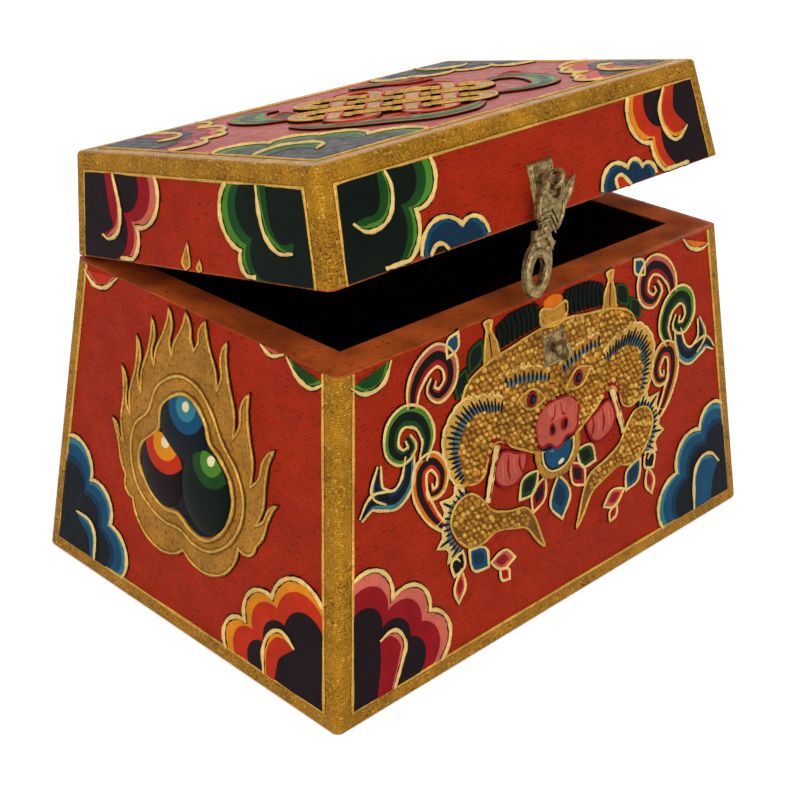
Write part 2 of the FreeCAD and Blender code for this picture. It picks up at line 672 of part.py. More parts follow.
lid_nodes = {
    "lid_top_board": board(RAIL_TOP, LID_TOP, outer_bounds, lid_outside, lid_brads),
    "lid_front_rail": board(LID_BOTTOM, RAIL_TOP, front_bounds, lid_outside, lid_brads + [eye_hole]),
    "lid_back_rail": board(LID_BOTTOM, RAIL_TOP, back_bounds, lid_outside, lid_brads + lid_screws),
    "lid_left_rail": board(LID_BOTTOM, RAIL_TOP, left_bounds, lid_outside, lid_brads),
    "lid_right_rail": board(LID_BOTTOM, RAIL_TOP, right_bounds, lid_outside, lid_brads),
    "lid_brads": grouped(lid_brads),
    "hasp_plate": placed(plate(EYE_Y, EYE_SHANK + 2 * SHANK_FIT), front),
    "lid_knot_relief": placed(knot_relief(), FreeCAD.Placement(point(0, 0, LID_TOP), FreeCAD.Rotation())),
    "hinge_lid_screws": grouped([placed(slotted(screw_body(x, y)), hinge_frame(side))
                                 for side in sides.values() for x, y in leaf_screws(1)]),
}
for name, side in sides.items():
    base_nodes[name + "_hinge_base_leaf"] = placed(leaf(-1, 0), hinge_frame(side))
    base_nodes[name + "_hinge_pin"] = placed(hinge_pin(), hinge_frame(side))
    lid_nodes[name + "_hinge_lid_leaf"] = placed(leaf(1, 1), hinge_frame(side))

# The eye and the hasp lean over together, then ride with the lid
eye_seat = front.multVec(point(0, EYE_Y, 0))
wall_normal = front.Rotation.multVec(Z_AXIS)
hasp_hang = FreeCAD.Placement(point(0, EYE_Y, EYE_OUT), FreeCAD.Rotation())
lid_nodes["hasp_eye"] = turned(placed(hasp_eye(), front), eye_seat, wall_normal, -HASP_LEAN_DEG)
lid_nodes["hasp"] = turned(placed(hasp(), front.multiply(hasp_hang)), eye_seat, wall_normal, -HASP_LEAN_DEG)

# The lid stands ajar on its hinge pins
hinge_axis_point = back.multVec(point(0, SEAM_SLOPE / 2, PIVOT_OUT))
resting = {name: turned(shape, hinge_axis_point, -X_AXIS, LID_AJAR_DEG) for name, shape in lid_nodes.items()}

os.makedirs("parts", exist_ok=True)
for name, shape in {**base_nodes, **resting}.items():
    shape.exportStep(os.path.join("parts", name + ".step"))

# Joint places for the record
turn_lid = FreeCAD.Rotation(-X_AXIS, LID_AJAR_DEG)


def at_rest(spot):
    return hinge_axis_point + turn_lid.multVec(spot - hinge_axis_point)


eye_normal = turn_lid.multVec(wall_normal)
hasp_pivot = at_rest(front.multVec(point(0, EYE_Y, EYE_OUT)))
cross_bar = turn_lid.multVec(FreeCAD.Rotation(wall_normal, -HASP_LEAN_DEG).multVec(-X_AXIS))
print("lid hinge", hinge_axis_point)
print("eye seat", at_rest(eye_seat), "axis", eye_normal)
print("hasp bar", hasp_pivot, "axis", cross_bar)
print("staple bore", front.multVec(point(0, -STAPLE_DROP, STAPLE_OUT)))
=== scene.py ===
import json
import math
import random
from functools import cached_property

import bpy
from mathutils import Matrix, Vector
from mathutils.geometry import tessellate_polygon


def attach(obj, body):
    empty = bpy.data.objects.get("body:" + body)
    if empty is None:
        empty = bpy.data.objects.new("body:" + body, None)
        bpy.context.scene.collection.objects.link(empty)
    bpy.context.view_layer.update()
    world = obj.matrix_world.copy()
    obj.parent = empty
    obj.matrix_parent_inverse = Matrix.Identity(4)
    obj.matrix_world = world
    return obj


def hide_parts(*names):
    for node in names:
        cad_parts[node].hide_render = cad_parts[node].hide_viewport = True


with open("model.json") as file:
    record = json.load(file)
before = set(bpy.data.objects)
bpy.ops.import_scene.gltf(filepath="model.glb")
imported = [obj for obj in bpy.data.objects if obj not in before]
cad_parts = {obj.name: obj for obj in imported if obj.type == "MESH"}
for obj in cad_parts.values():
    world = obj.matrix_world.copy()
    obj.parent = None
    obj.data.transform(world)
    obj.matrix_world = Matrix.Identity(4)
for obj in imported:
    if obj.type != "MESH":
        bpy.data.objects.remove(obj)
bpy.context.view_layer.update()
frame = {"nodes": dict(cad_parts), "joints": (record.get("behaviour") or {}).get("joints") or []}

# Sizes in millimetres, the chest with its lid shut standing on z = 0, its front towards -y
MM = 0.001
BASE_WIDTH = 200
BASE_DEPTH = 147
CUT_HEIGHT = 106
LID_BOTTOM = 106.4
LID_TOP = 138.4
LEAN = math.radians(7)
WALL_RISE = CUT_HEIGHT / math.cos(LEAN)
LID_RISE = (LID_TOP - LID_BOTTOM) / math.cos(LEAN)
BAND = 5.8
LID_LOW = 0.4
LID_HIGH = LID_RISE - BAND
SIDES = {"front": (0, -1), "back": (0, 1), "left": (-1, 0), "right": (1, 0)}
TWINS = (("left", 1), ("right", -1))
SQUARE = ((-1, -1), (1, -1), (1, 1), (-1, 1))

# How paint and paste lie: seated in the board, a cloud's field and its layers, a coat, a sunk line
SEAT = -0.25
FIELD = 0.2
LAYER = 0.09
COAT = 0.06
SUNK = 0.1
GLOW = 2.6
CORE_SHARE = 0.4
STEP = 1.0
EVEN_SHARE = 0.45

# Strokes: half the width of a line, its rise, its dark edge of painted shade, its width at the ends as
# a share
CLOUD_LINE = 0.66
STROKES = {
    "edge": (0.44, 0.4, 0.3, 1),
    "band": (0.44, 0.4, 0.42, 1),
    "cloud": (CLOUD_LINE, 0.65, 0.42, 1), "cloud_shade": (CLOUD_LINE + 0.3, 0.1, 0.1, 1),
    "rim_cloud": (CLOUD_LINE, 0.65, 0.42, 0.4), "rim_cloud_shade": (CLOUD_LINE + 0.3, 0.1, 0.1, 0.4),
    "hook": (0.62, 0.65, 0.42, 0.6), "hook_shade": (0.92, 0.1, 0.1, 0.6),
    "low_hook": (0.62, 0.4, 0.42, 1),
    "scarf": (0.44, 0.4, 0.3, 0.7), "flat_scarf": (0.44, 0.1, 0.3, 0.7),
    "flame": (0.36, 0.4, 0.3, 1), "flame_shade": (0.66, 0.1, 0.3, 1),
    "flame_tip": (0.3, 0.3, 0.2, 1),
    "halo_rim": (0.44, 0.4, 0.3, 1), "halo_rim_shade": (0.95, 0.1, 0.3, 1),
    "halo": (0.5, 0.6, 0.3, 1), "halo_shade": (1.0, 0.1, 0.3, 1),
    "hair": (0.42, 0.4, 0.12, 0.5), "lock": (0.75, 0.6, 0.25, 0.7),
    "eyelid": (0.4, 0.4, 0.2, 1),
    "finger": (0.42, 0.4, 0.2, 0.4), "sleeve": (0.7, 0.4, 0.2, 0.4),
    "stick": (1.05, 0.8, 0.42, 1), "stick_split": (0.16, 0.08, 0, 0.5),
    "horn_split": (0.22, 0.1, 0, 1),
    "muzzle": (0.44, 0.4, 0.2, 1), "fold": (0.3, 0.3, 0.1, 0.4),
    "gum": (0.36, 0.4, 0.2, 1), "lip": (1.25, 0.8, 0.42, 1),
    "slot_rim": (1.1, 0.7, 0.2, 1), "ring_rib": (0.55, 0.25, 0.2, 0.6),
    "chevron": (0.5, 0.6, 0.2, 0.5), "flank": (0.5, 0.5, 0.2, 0.6), "horn_rib": (0.75, 0.6, 0.2, 0.5),
    "plate_rim": (0.4, 0.28, 0.15, 1),
}
# A stroke's section: aside and up as shares of its width and rise, 1 for the dark skirt of painted
# shade;
# its wobble as size, rate and turns of phase; the points over which its ends narrow
SECTION = ((-1, SEAT, 1), (-1, 0.04, 0), (-0.72, 0.7, 0), (0, 1, 0), (0.72, 0.7, 0), (1, 0.04, 0),
           (1, SEAT, 1))
WOBBLE = ((0.13, 0.7, 1), (0.09, 1.9, 2))
TAPER = 6

JOINTS = {joint["name"]: joint for joint in frame["joints"]}
LID_AXIS = JOINTS["lid_hinge"]["axis"]
HINGE = Vector(JOINTS["lid_hinge"]["pos_m"])
AJAR = math.radians(-JOINTS["lid_hinge"]["range_deg"][0])
LID_TURN = (Matrix.Translation(HINGE) @ Matrix.Rotation(AJAR, 4, Vector(LID_AXIS))
            @ Matrix.Translation(-HINGE))


def srgb(red, green, blue):
    """A colour as the eye reads it, 0 to 255, as the linear value a shader takes."""
    def linear(value):
        share = value / 255
        return share / 12.92 if share <= 0.04045 else ((share + 0.055) / 1.055) ** 2.4
    return (linear(red), linear(green), linear(blue), 1)


RED = srgb(166, 42, 17)
GOLD = srgb(168, 117, 27)
RIM = srgb(180, 84, 33)
BLACK = srgb(14, 9, 7)
INK_BLACK = srgb(18, 14, 11)
WHITE = (1, 1, 1, 1)
SHINE = 0.03
TOP_SHINE = 0.055
THREAD_RISE = 0.8
TOP_THREAD_RISE = 0.2
THREAD_PITCH = 0.85
SKIN = 1.6
ALONG_BOARD = (0.12, 0.12, 1)


class Wiring:
    """The nodes of one material or world. Lengths are in millimetres."""

    def __init__(self, owner):
        owner.use_nodes = True
        self.owner, self.tree = owner, owner.node_tree

    @cached_property
    def place(self):
        return self.node("TexCoord").outputs["Object"]

    def fill(self, node, inputs):
        """Gives each input its value or its link."""
        for key, value in inputs.items():
            if isinstance(value, bpy.types.NodeSocket):
                self.tree.links.new(value, node.inputs[key])
            else:
                node.inputs[key].default_value = value
        return node

    def node(self, kind, inputs=None, **settings):
        node = self.tree.nodes.new("ShaderNode" + kind)
        for key, value in settings.items():
            setattr(node, key, value)
        return self.fill(node, inputs or {})

    def math(self, operation, *values):
        return self.node("Math", dict(enumerate(values)), operation=operation).outputs[0]

    def mix(self, share, first, second, blend="MIX"):
        inputs = {0: share, 6: first, 7: second}
        return self.node("Mix", inputs, data_type="RGBA", blend_type=blend).outputs[2]

    def noise(self, size, detail, stretch=(1, 1, 1)):
        scaled = self.node("Mapping", {"Vector": self.place, "Scale": stretch}).outputs[0]
        inputs = {"Vector": scaled, "Scale": 1 / (size * MM), "Detail": detail}
        return self.node("TexNoise", inputs).outputs["Fac"]

    def step(self, value, low, high, first=0, last=1):
        """From first where value is low to last where it is high."""
        return self.node("MapRange", {0: value, 1: low, 2: high, 3: first, 4: last}).outputs[0]

    def patches(self, size, detail, low, high, first=0, last=1, stretch=(1, 1, 1)):
        """Noise of a size, from first where it is low to last where it is high."""
        return self.step(self.noise(size, detail, stretch), low, high, first, last)

    def uneven(self, size, first, last, detail=3):
        """A value that drifts between first and last."""
        return self.patches(size, detail, 0.3, 0.7, first, last)

    def weave(self, pitch):
        """The crossed threads of a cotton cloth under the paint."""
        scale = 2 * math.pi / (20 * pitch * MM)
        inputs = {"Vector": self.place, "Scale": scale, "Distortion": 1.2, "Detail": 1}
        x, y, z = (self.node("TexWave", inputs, bands_direction=way).outputs["Fac"] for way in "XYZ")
        return self.math("MULTIPLY", self.math("ADD", x, y), z)

    def seen(self):
        """1 for rays from the camera, off glossy faces and through clear ones."""
        rays = self.node("LightPath").outputs
        seen = self.math("MAXIMUM", rays["Is Camera Ray"], rays["Is Glossy Ray"])
        return self.math("MAXIMUM", seen, rays["Is Transmission Ray"])

    def finish(self, colour, roughness, height, depth, metallic=0.0, shine=SHINE, bevel=0.0):
        bump = self.node("Bump", {"Height": height, "Distance": depth * MM, "Strength": 1})
        if bevel:
            worn = self.node("Bevel", {"Radius": bevel * MM}, samples=4)
            self.fill(bump, {"Normal": worn.outputs[0]})
        self.fill(self.tree.nodes["Principled BSDF"], {
            "Normal": bump.outputs[0], "Base Color": colour, "Roughness": roughness,
            "Metallic": metallic, "Specular IOR Level": shine})
        return self.owner


def material(name):
    return Wiring(bpy.data.materials.new(name))


def aged(w, colour, mottle, speck):
    """Brush mottling and fine dark specks over one colour."""
    cloudy = w.uneven(9, 1 - mottle, 1 + mottle)
    grey = w.node("CombineColor", {0: cloudy, 1: cloudy, 2: cloudy}).outputs[0]
    specks = w.patches(0.8, 3, 0.6, 0.72, 0, speck)
    return w.mix(specks, w.mix(1, colour, grey, "MULTIPLY"), INK_BLACK)


def paint(name, colour, roughness=0.42, speck=0.45, metallic=0.0):
    w = material(name)
    rough = w.uneven(3, roughness - 0.1, roughness + 0.1)
    return w.finish(aged(w, colour, 0.16, speck), rough, w.noise(0.7, 3), 0.12, metallic)


def gilt(name, colour, grain=0.5):
    """Gilded paste with its dark ground showing in grains."""
    w = material(name)
    worn = w.patches(0.8, 5, 0.44, 0.68, 0, grain)
    tone = w.mix(worn, aged(w, colour, 0.24, 0.25), srgb(86, 56, 18))
    tone = w.mix(w.patches(1.5, 4, 0.58, 0.68, 0, grain), tone, srgb(72, 42, 14))
    return w.finish(tone, w.uneven(1.5, 0.34, 0.55, 2), w.noise(0.6, 3), 0.16, 0.3)


def brass(name, colour, dark, cast):
    """Brass with painted shade darkening its hollows and dark pits in its cast lumps; cast is how deep
    the mould's lumps are in millimetres.
    """
    w = material(name)
    coarse = w.math("MULTIPLY", w.noise(1.7, 2), 0.75)
    lumps = w.math("ADD", coarse, w.math("MULTIPLY", w.noise(0.6, 3), 0.25))
    # Painted shade: the colour darkens where ambient occlusion finds a hollow
    hollow = w.node("AmbientOcclusion", {"Distance": 1.6 * MM}, samples=6).outputs["AO"]
    pits = w.step(lumps, 0.44, 0.34, 0, cast / 2)
    darkened = w.math("MAXIMUM", w.step(hollow, 0.85, 0.35, 0, 0.95), pits)
    bright = w.mix(w.step(lumps, 0.42, 0.6), dark, colour)
    tone = w.mix(darkened, bright, srgb(36, 27, 14))
    return w.finish(tone, w.uneven(1.2, 0.26, 0.5), lumps, cast, 0.8, 0.4, 0.3)


def gold_tone(w):
    """Gold paint rubbed back to its dark grain in patches, with painted glints in pale flecks."""
    worn = w.patches(16, 3, 0.4, 0.6, 0.35, 1)
    grain = w.math("MULTIPLY", w.patches(0.7, 5, 0.44, 0.6, 0, 0.8), worn)
    tone = w.mix(grain, aged(w, GOLD, 0.24, 0.3), srgb(112, 72, 18))
    pits = w.math("MULTIPLY", w.patches(0.75, 4, 0.56, 0.64, 0, 0.8), worn)
    tone = w.mix(pits, tone, srgb(46, 26, 8))
    # Pale flecks: painted glints on the gold
    return w.mix(w.patches(0.9, 3, 0.6, 0.68, 0, 0.7), tone, srgb(214, 170, 80))


def red_tone(w, weave):
    """Red ground on cloth, soiled in patches and flecked."""
    tone = w.mix(w.patches(28, 4, 0.42, 0.62, 0, 0.22), aged(w, RED, 0.12, 0.3), srgb(140, 30, 14))
    flecks = w.patches(0.7, 4, 0.57, 0.68, 0, 0.55, (0.35, 0.35, 1))
    tone = w.mix(flecks, tone, srgb(70, 22, 12))
    return w.mix(w.step(weave, 0.0, 0.6, 0.16, 0), tone, srgb(96, 20, 12))


def wood_tone(w, stretch):
    """Stained wood on the rim, scuffed dark."""
    tone = w.mix(w.patches(2.2, 4, 0.4, 0.65, 0, 0.6, stretch), RIM, srgb(92, 36, 16))
    return w.mix(w.patches(1.6, 5, 0.6, 0.7, 0, 0.6), tone, srgb(58, 23, 11))


def inner_tone(w):
    return w.mix(w.patches(3, 4, 0.4, 0.65, 0, 0.8, ALONG_BOARD), BLACK, srgb(40, 20, 13))


def board_paint(name, lid):
    """Cloth-covered boards: red ground, gold bands, stained rim and black inside."""
    w = material(name)
    place = w.place
    if lid:
        shut = {"Vector": w.place, "Center": HINGE, "Axis": LID_AXIS, "Angle": -AJAR}
        place = w.node("VectorRotate", shut).outputs[0]
    x, y, z = w.node("SeparateXYZ", {0: place}).outputs
    narrowing = w.math("MULTIPLY", z, math.tan(LEAN))
    depths = []
    for size, across in ((BASE_WIDTH, x), (BASE_DEPTH, y)):
        half = w.math("SUBTRACT", size / 2 * MM, narrowing)
        depths.append(w.math("SUBTRACT", half, w.math("ABSOLUTE", across)))
    near, far = w.math("MINIMUM", *depths), w.math("MAXIMUM", *depths)
    outside = w.math("LESS_THAN", near, SKIN * MM)
    if lid:
        below_top = w.math("SUBTRACT", LID_TOP * MM, z)
        on_top = w.math("LESS_THAN", below_top, 0.5 * MM)
        beside = w.math("MULTIPLY", w.math("SUBTRACT", 1, on_top), w.math("MINIMUM", far, below_top))
        edge = w.math("ADD", w.math("MULTIPLY", on_top, near), beside)
        outside = w.math("MAXIMUM", outside, on_top)
        rim = w.math("LESS_THAN", z, (LID_BOTTOM + 0.4) * MM)
        cloth = w.step(on_top, 0, 1, THREAD_RISE, TOP_THREAD_RISE)
        shine = w.step(on_top, 0, 1, SHINE, TOP_SHINE)
    else:
        edge = w.math("MINIMUM", far, z)
        rim = w.math("GREATER_THAN", z, (CUT_HEIGHT - 0.5) * MM)
        cloth, shine = THREAD_RISE, SHINE
    band = w.step(edge, (BAND + 0.05) * MM, (BAND - 0.05) * MM)
    weave = w.weave(THREAD_PITCH)
    colour = w.mix(band, red_tone(w, weave), gold_tone(w))
    colour = w.mix(outside, inner_tone(w), colour)
    colour = w.mix(rim, colour, wood_tone(w, ALONG_BOARD if lid else (0.14, 0.14, 0.14)))
    dull = w.math("MULTIPLY", w.math("SUBTRACT", 1, outside), 0.85)
    rough = w.math("MAXIMUM", w.uneven(4, 0.36, 0.52), dull)
    height = w.math("ADD", w.math("MULTIPLY", weave, cloth), w.math("MULTIPLY", w.noise(0.6, 4), 0.6))
    return w.finish(colour, rough, height, 0.16, w.math("MULTIPLY", band, 0.2), shine)


def jewel_paint(name, centre, rings, shade):
    """A painted ball: bright rings round its highlight, dark below, the same on both sides."""
    w = material(name)
    x, y, z = w.node("SeparateXYZ", {0: w.place}).outputs
    folded = w.node("CombineXYZ", {0: w.math("ABSOLUTE", x), 1: y, 2: z}).outputs[0]
    away = w.node("VectorMath", {0: folded, 1: centre}, operation="DISTANCE").outputs["Value"]
    colour = shade
    for reach, ring in rings:
        colour = w.mix(w.step(away, (reach + 0.15) * MM, (reach - 0.15) * MM), colour, ring)
    return w.finish(aged(w, colour, 0.1, 0.3), w.uneven(3, 0.25, 0.42), w.noise(0.8, 3), 0.08)


TONES = {
    "ink": INK_BLACK,
    "cream": srgb(220, 186, 112),
    "white": srgb(224, 206, 160),
    "pink": srgb(198, 98, 80),
    "rose": srgb(182, 82, 66),
    "crimson": srgb(140, 20, 28),
    "scarlet": srgb(180, 46, 22),
    "plum": srgb(26, 16, 19),
    "orange": srgb(206, 106, 18),
    "amber": srgb(212, 130, 26),
    "sky": srgb(50, 116, 130),
    "blue": srgb(20, 70, 100),
    "indigo": srgb(20, 46, 66),
    "steel": srgb(88, 108, 106),
    "navy": srgb(16, 21, 28),
    "leaf": srgb(70, 122, 38),
    "green": srgb(26, 64, 26),
    "bottle": srgb(12, 21, 15),
}
PAINTS = {name: paint(name, tone) for name, tone in TONES.items()}
PAINTS["straw"] = gilt("straw", srgb(204, 156, 68), 0.3)
PAINTS["gold"] = gilt("gold", srgb(164, 112, 38), 0.5)
PAINTS["bead"] = gilt("bead", srgb(176, 122, 44), 0.4)
PAINTS["bronze"] = gilt("bronze", srgb(128, 84, 28), 0.6)

# Board, brass and iron materials of the CAD nodes
SLOTS = {
    "base_paint": board_paint("base_boards", False),
    "lid_paint": board_paint("lid_boards", True),
    "floor_paint": paint("floor_board", BLACK, 0.8, 0.2),
    "iron": paint("brad_iron", srgb(58, 40, 24), 0.6, 0.4, 0.6),
    "cast_brass": brass("cast_brass", srgb(156, 134, 88), srgb(116, 95, 57), 0.6),
    "hinge_brass": brass("hinge_brass", srgb(178, 142, 78), srgb(150, 116, 60), 0.25),
    "gilt_paste": gilt("gilt_paste", srgb(168, 112, 38)),
}
PAINTS["cast"] = SLOTS["cast_brass"]


class Face:
    """A flat side: u to the right and v up it seen from outside, h out of it, in millimetres."""

    def __init__(self, body, origin, right, up, turn, half=0):
        self.body, self.turn, self.half = body, turn, half
        self.origin, self.right, self.up = Vector(origin), Vector(right), Vector(up)
        self.out = self.right.cross(self.up)

    def at(self, u, v, h=0.0):
        return self.turn @ ((self.origin + self.right * u + self.up * v + self.out * h) * MM)

    def panel(self, v):
        """Half the width inside the bands at height v."""
        return self.half - v * math.sin(LEAN) - BAND


def walls(body, z, turn):
    """The four sides from height z up."""
    sine, cosine, inset = math.sin(LEAN), math.cos(LEAN), z * math.tan(LEAN)
    wide, deep = BASE_WIDTH / 2 - inset, BASE_DEPTH / 2 - inset
    faces = {}
    for side, (x, y) in SIDES.items():
        up = (-x * sine, -y * sine, cosine)
        faces[side] = Face(body, (x * wide, y * deep, z), (-y, x, 0), up, turn, deep if x else wide)
    return faces


BASE = walls("base", 0, Matrix.Identity(4))
LID = walls("lid", LID_BOTTOM, LID_TURN)
LID["top"] = Face("lid", (0, 0, LID_TOP), (1, 0, 0), (0, 1, 0), LID_TURN)


def extended(points, closed):
    """The points with one more before and after, round the ring or straight on."""
    if closed:
        return [points[-1]] + points + points[:1]
    return [points[0] * 2 - points[1]] + points + [points[-1] * 2 - points[-2]]


def flow(points, closed=False, step=STEP):
    """A smooth line through the points, with a point about every step."""
    points = [Vector(p) for p in points]
    ring = extended(points, closed) + points[1:2] * closed
    line = []
    for a, b, c, d in zip(ring, ring[1:], ring[2:], ring[3:]):
        parts = max(2, round((c - b).length / step))
        for t in (k / parts for k in range(parts)):
            line.append((b * 2 + (c - a) * t + (a * 2 - b * 5 + c * 4 - d) * t ** 2
                         + (b * 3 - a - c * 3 + d) * t ** 3) / 2)
    return line if closed else line + points[-1:]


def straight(points, step=4 * STEP):
    """The points with more between them on straight lines."""
    points = [Vector(p) for p in points]
    line = []
    for a, b in zip(points, points[1:]):
        parts = max(1, round((b - a).length / step))
        line += [a.lerp(b, k / parts) for k in range(parts)]
    return line + [points[-1]]


def arc(a, b, bulge, away):
    """The bow from a to b that stands out from the point away by bulge times its span."""
    a, b = Vector(a), Vector(b)
    span = b - a
    across = Vector((-span.y, span.x))
    if across.dot((a + b) / 2 - Vector(away)) < 0:
        across = -across
    parts = max(4, round(span.length * 1.3 / STEP))
    line = []
    for k in range(parts + 1):
        t = k / parts
        round_share = (1 - math.cos(math.pi * t)) / 2
        along = EVEN_SHARE * t + (1 - EVEN_SHARE) * round_share
        line.append(a + span * along + across * bulge * math.sin(math.pi * t))
    return line


def scallops(notches, bulge, away):
    """Bows from notch to notch."""
    bows = [arc(a, b, bulge, away) for a, b in zip(notches, notches[1:])]
    return bows[0] + [p for bow in bows[1:] for p in bow[1:]]


def lefts(path, closed=False):
    """The direction to the left at each point of a path, longer at the corners."""
    ring = extended(path, closed)
    ways = []
    for before, p, after in zip(ring, path, ring[2:]):
        first, second = (p - before).normalized(), (after - p).normalized()
        middle = first + second
        middle = middle.normalized() if middle.length > 0.2 else first
        ways.append(Vector((-middle.y, middle.x)) / max(0.7, middle.dot(first)))
    return ways


class Relief:
    """Raised ornament on one face: closed shells seated in the board, in one mesh."""

    def __init__(self, face, flip=1):
        self.face, self.flip = face, flip
        self.hand = random.Random(5)
        self.points, self.faces, self.marks, self.soft, self.paints = [], [], [], [], []

    def shell(self, points, faces, names, soft):
        """Points are (u, v, h); names gives each face its paint."""
        start = len(self.points)
        self.points += [self.face.at(*p) for p in points]
        for face, name in zip(faces, names):
            if name not in self.paints:
                self.paints.append(name)
            self.faces.append([start + i for i in face])
            self.marks.append(self.paints.index(name))
            self.soft.append(soft)

    def turned(self, path):
        return [Vector((self.flip * p[0], p[1])) for p in path]

    def pad(self, outline, name, top):
        """A flat field of paint."""
        flat = self.turned(outline)
        if sum(a.x * b.y - b.x * a.y for a, b in zip(flat, flat[1:] + flat[:1])) < 0:
            flat.reverse()
        count = len(flat)
        points = [(p.x, p.y, h) for h in (top, SEAT) for p in flat]
        faces = []
        for a, b, c in tessellate_polygon([[p.to_3d() for p in flat]]):
            turn = (flat[b] - flat[a]).cross(flat[c] - flat[a])
            tri = (a, b, c) if turn > 0 else (a, c, b)
            faces += [tri, tuple(count + i for i in reversed(tri))]
        for i in range(count):
            j = (i + 1) % count
            faces.append((i, count + i, count + j, j))
        self.shell(points, faces, [name] * len(faces), False)

    def line(self, path, name, stroke, base=0.0, closed=False):
        """A half-round raised line with a dark edge of painted shade along its foot."""
        width, rise, ink, ends = STROKES[stroke]
        path = self.turned(path)
        count, across = len(path), len(SECTION)
        taper = max(1, min(TAPER, count / 3))
        phase = self.hand.uniform(0, 2 * math.pi)
        points = []
        for i, (p, way) in enumerate(zip(path, lefts(path, closed))):
            share = 1 + sum(size * math.sin(rate * i + turns * phase) for size, rate, turns in WOBBLE)
            if not closed:
                share *= ends + (1 - ends) * min(1, min(i, count - 1 - i) / taper)
            for aside, up, skirt in SECTION:
                q = p + way * (aside * (width + skirt * ink)) * share
                points.append((q.x, q.y, up if skirt else base + up * rise * share + COAT))
        faces, names = [], []
        for i in range(count if closed else count - 1):
            here, there = i * across, (i + 1) % count * across
            for k in range(across):
                m = (k + 1) % across
                faces.append((there + k, there + m, here + m, here + k))
                # Faces beyond the line's foot take the dark ink paint as painted shade
                names.append(name if 0 < k < across - 2 else "ink")
        if not closed:
            last = (count - 1) * across
            faces += [tuple(range(across)), tuple(range(last + across - 1, last - 1, -1))]
            names += [name, name]
        self.shell(points, faces, names, True)

    def edged(self, outline, name, edge, top, sunk=SUNK, closed=True, stroke="edge"):
        """A field of paint with a narrow raised line along its edge."""
        self.pad(outline, name, top)
        self.line(outline, edge, stroke, top - sunk, closed)

    def dome(self, spot, radius, rise, name, base=0.0, stretch=1.0, turn=0.0, around=8, rings=3):
        """A rounded boss, an oval when stretched along turn degrees."""
        u, v = spot
        angle = math.radians(turn)
        along = Vector((math.cos(angle), math.sin(angle)))
        aside = Vector((-along.y, along.x))
        points = []
        for ring in range(rings):
            lift = ring / rings * math.pi / 2
            reach = math.cos(lift) * radius
            for k in range(around):
                a = 2 * math.pi * k / around
                p = (Vector((u, v)) + along * (math.cos(a) * reach * stretch)
                     + aside * (math.sin(a) * reach))
                points.append((p.x, p.y, base + math.sin(lift) * rise))
        points += [(u, v, base + rise)] + [(x, y, SEAT) for x, y, h in points[:around]]
        points = [(self.flip * x, y, h) for x, y, h in points]
        last, tip, foot = (rings - 1) * around, rings * around, rings * around + 1
        pairs = [(k, (k + 1) % around) for k in range(around)]
        faces = [(low + k, low + m, low + around + m, low + around + k)
                 for low in range(0, last, around) for k, m in pairs]
        for k, m in pairs:
            faces += [(last + k, last + m, tip), (foot + k, foot + m, m, k)]
        faces.append(tuple(range(foot + around - 1, foot - 1, -1)))
        if self.flip < 0:
            faces = [face[::-1] for face in faces]
        self.shell(points, faces, [name] * len(faces), True)

    def build(self, name, slot, nodes=()):
        mesh = bpy.data.meshes.new(name)
        mesh.from_pydata(self.points, [], self.faces)
        for key in self.paints:
            mesh.materials.append(PAINTS[key])
        mesh.polygons.foreach_set("material_index", self.marks)
        mesh.polygons.foreach_set("use_smooth", self.soft)
        mesh.update()
        piece = bpy.data.objects.new(name, mesh)
        bpy.context.collection.objects.link(piece)
        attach(piece, self.face.body)
        if nodes:
            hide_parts(*nodes)


def strip(path, widths):
    """The two edges of a ribbon along a path; widths are spread evenly along it."""
    left, right = [], []
    for i, (p, way) in enumerate(zip(path, lefts(path))):
        t = i / (len(path) - 1) * (len(widths) - 1)
        k = min(int(t), len(widths) - 2)
        half = (widths[k] + (widths[k + 1] - widths[k]) * (t - k)) / 2
        left.append(p + way * half)
        right.append(p - way * half)
    return left, right


def curls_left(path):
    return sum((b - a).cross(c - b) for a, b, c in zip(path, path[1:], path[2:])) > 0


def ribbon(relief, points, widths, tones, line="cream", rise=0.5, stroke="scarf"):
    """A curling scarf: tones outside its curl, in its core and inside, and raised edges."""
    outer, core, inner = tones
    path = flow(points)
    left, right = strip(path, widths)
    relief.pad(left + right[::-1], outer, rise)
    hollow = left if curls_left(path) else right
    relief.pad(path + hollow[::-1], inner, rise + COAT)
    core_left, core_right = strip(path, [w * CORE_SHARE for w in widths])
    relief.pad(core_left + core_right[::-1], core, rise + 2 * COAT)
    for edge in (left, right):
        relief.line(edge, line, stroke, rise)


def outlined(relief, path, stroke, base):
    """A raised cream line lying on a broader dark one."""
    relief.line(path, "ink", stroke + "_shade", base)
    relief.line(path, "cream", stroke, base)


def hook(relief, path, heel, light, fill, height):
    """A cloud's curl: a pale stroke with two tones in its hollow, up to heel."""
    curl = flow(path)
    relief.pad(curl + flow([path[-1]] + heel)[1:], fill, height)
    ways, half = lefts(curl), len(curl) // 2
    reach = GLOW if ways[half].dot(Vector(heel[len(heel) // 2]) - curl[half]) > 0 else -GLOW
    glow = []
    for i, (p, way) in enumerate(zip(curl, ways)):
        t = i / (len(curl) - 1)
        glow.append(p + way * reach * min(1, 4 * (1 - t)) * (0.4 + 0.6 * t))
    relief.pad(curl + glow[::-1], light, height + COAT)
    outlined(relief, curl, "hook", height)


def layered(relief, centre, notches, bulge, layers, corners, low):
    """Scalloped fields inside each other, shrinking to centre; returns their top."""
    foot = Vector(corners[0]) if corners else centre
    for rank, (share, name) in enumerate(layers):
        ring = [centre.lerp(Vector(p), share) for p in notches[:-1]]
        bows = scallops(ring + [foot.lerp(Vector(notches[-1]), share)], bulge, centre)
        relief.pad([Vector((p.x, max(p.y, low))) for p in bows] + corners, name, FIELD + LAYER * rank)
    edge = [Vector((p.x, max(p.y, low + CLOUD_LINE))) for p in scallops(notches, bulge, centre)]
    outlined(relief, edge, "cloud", FIELD)
    return FIELD + LAYER * len(layers)


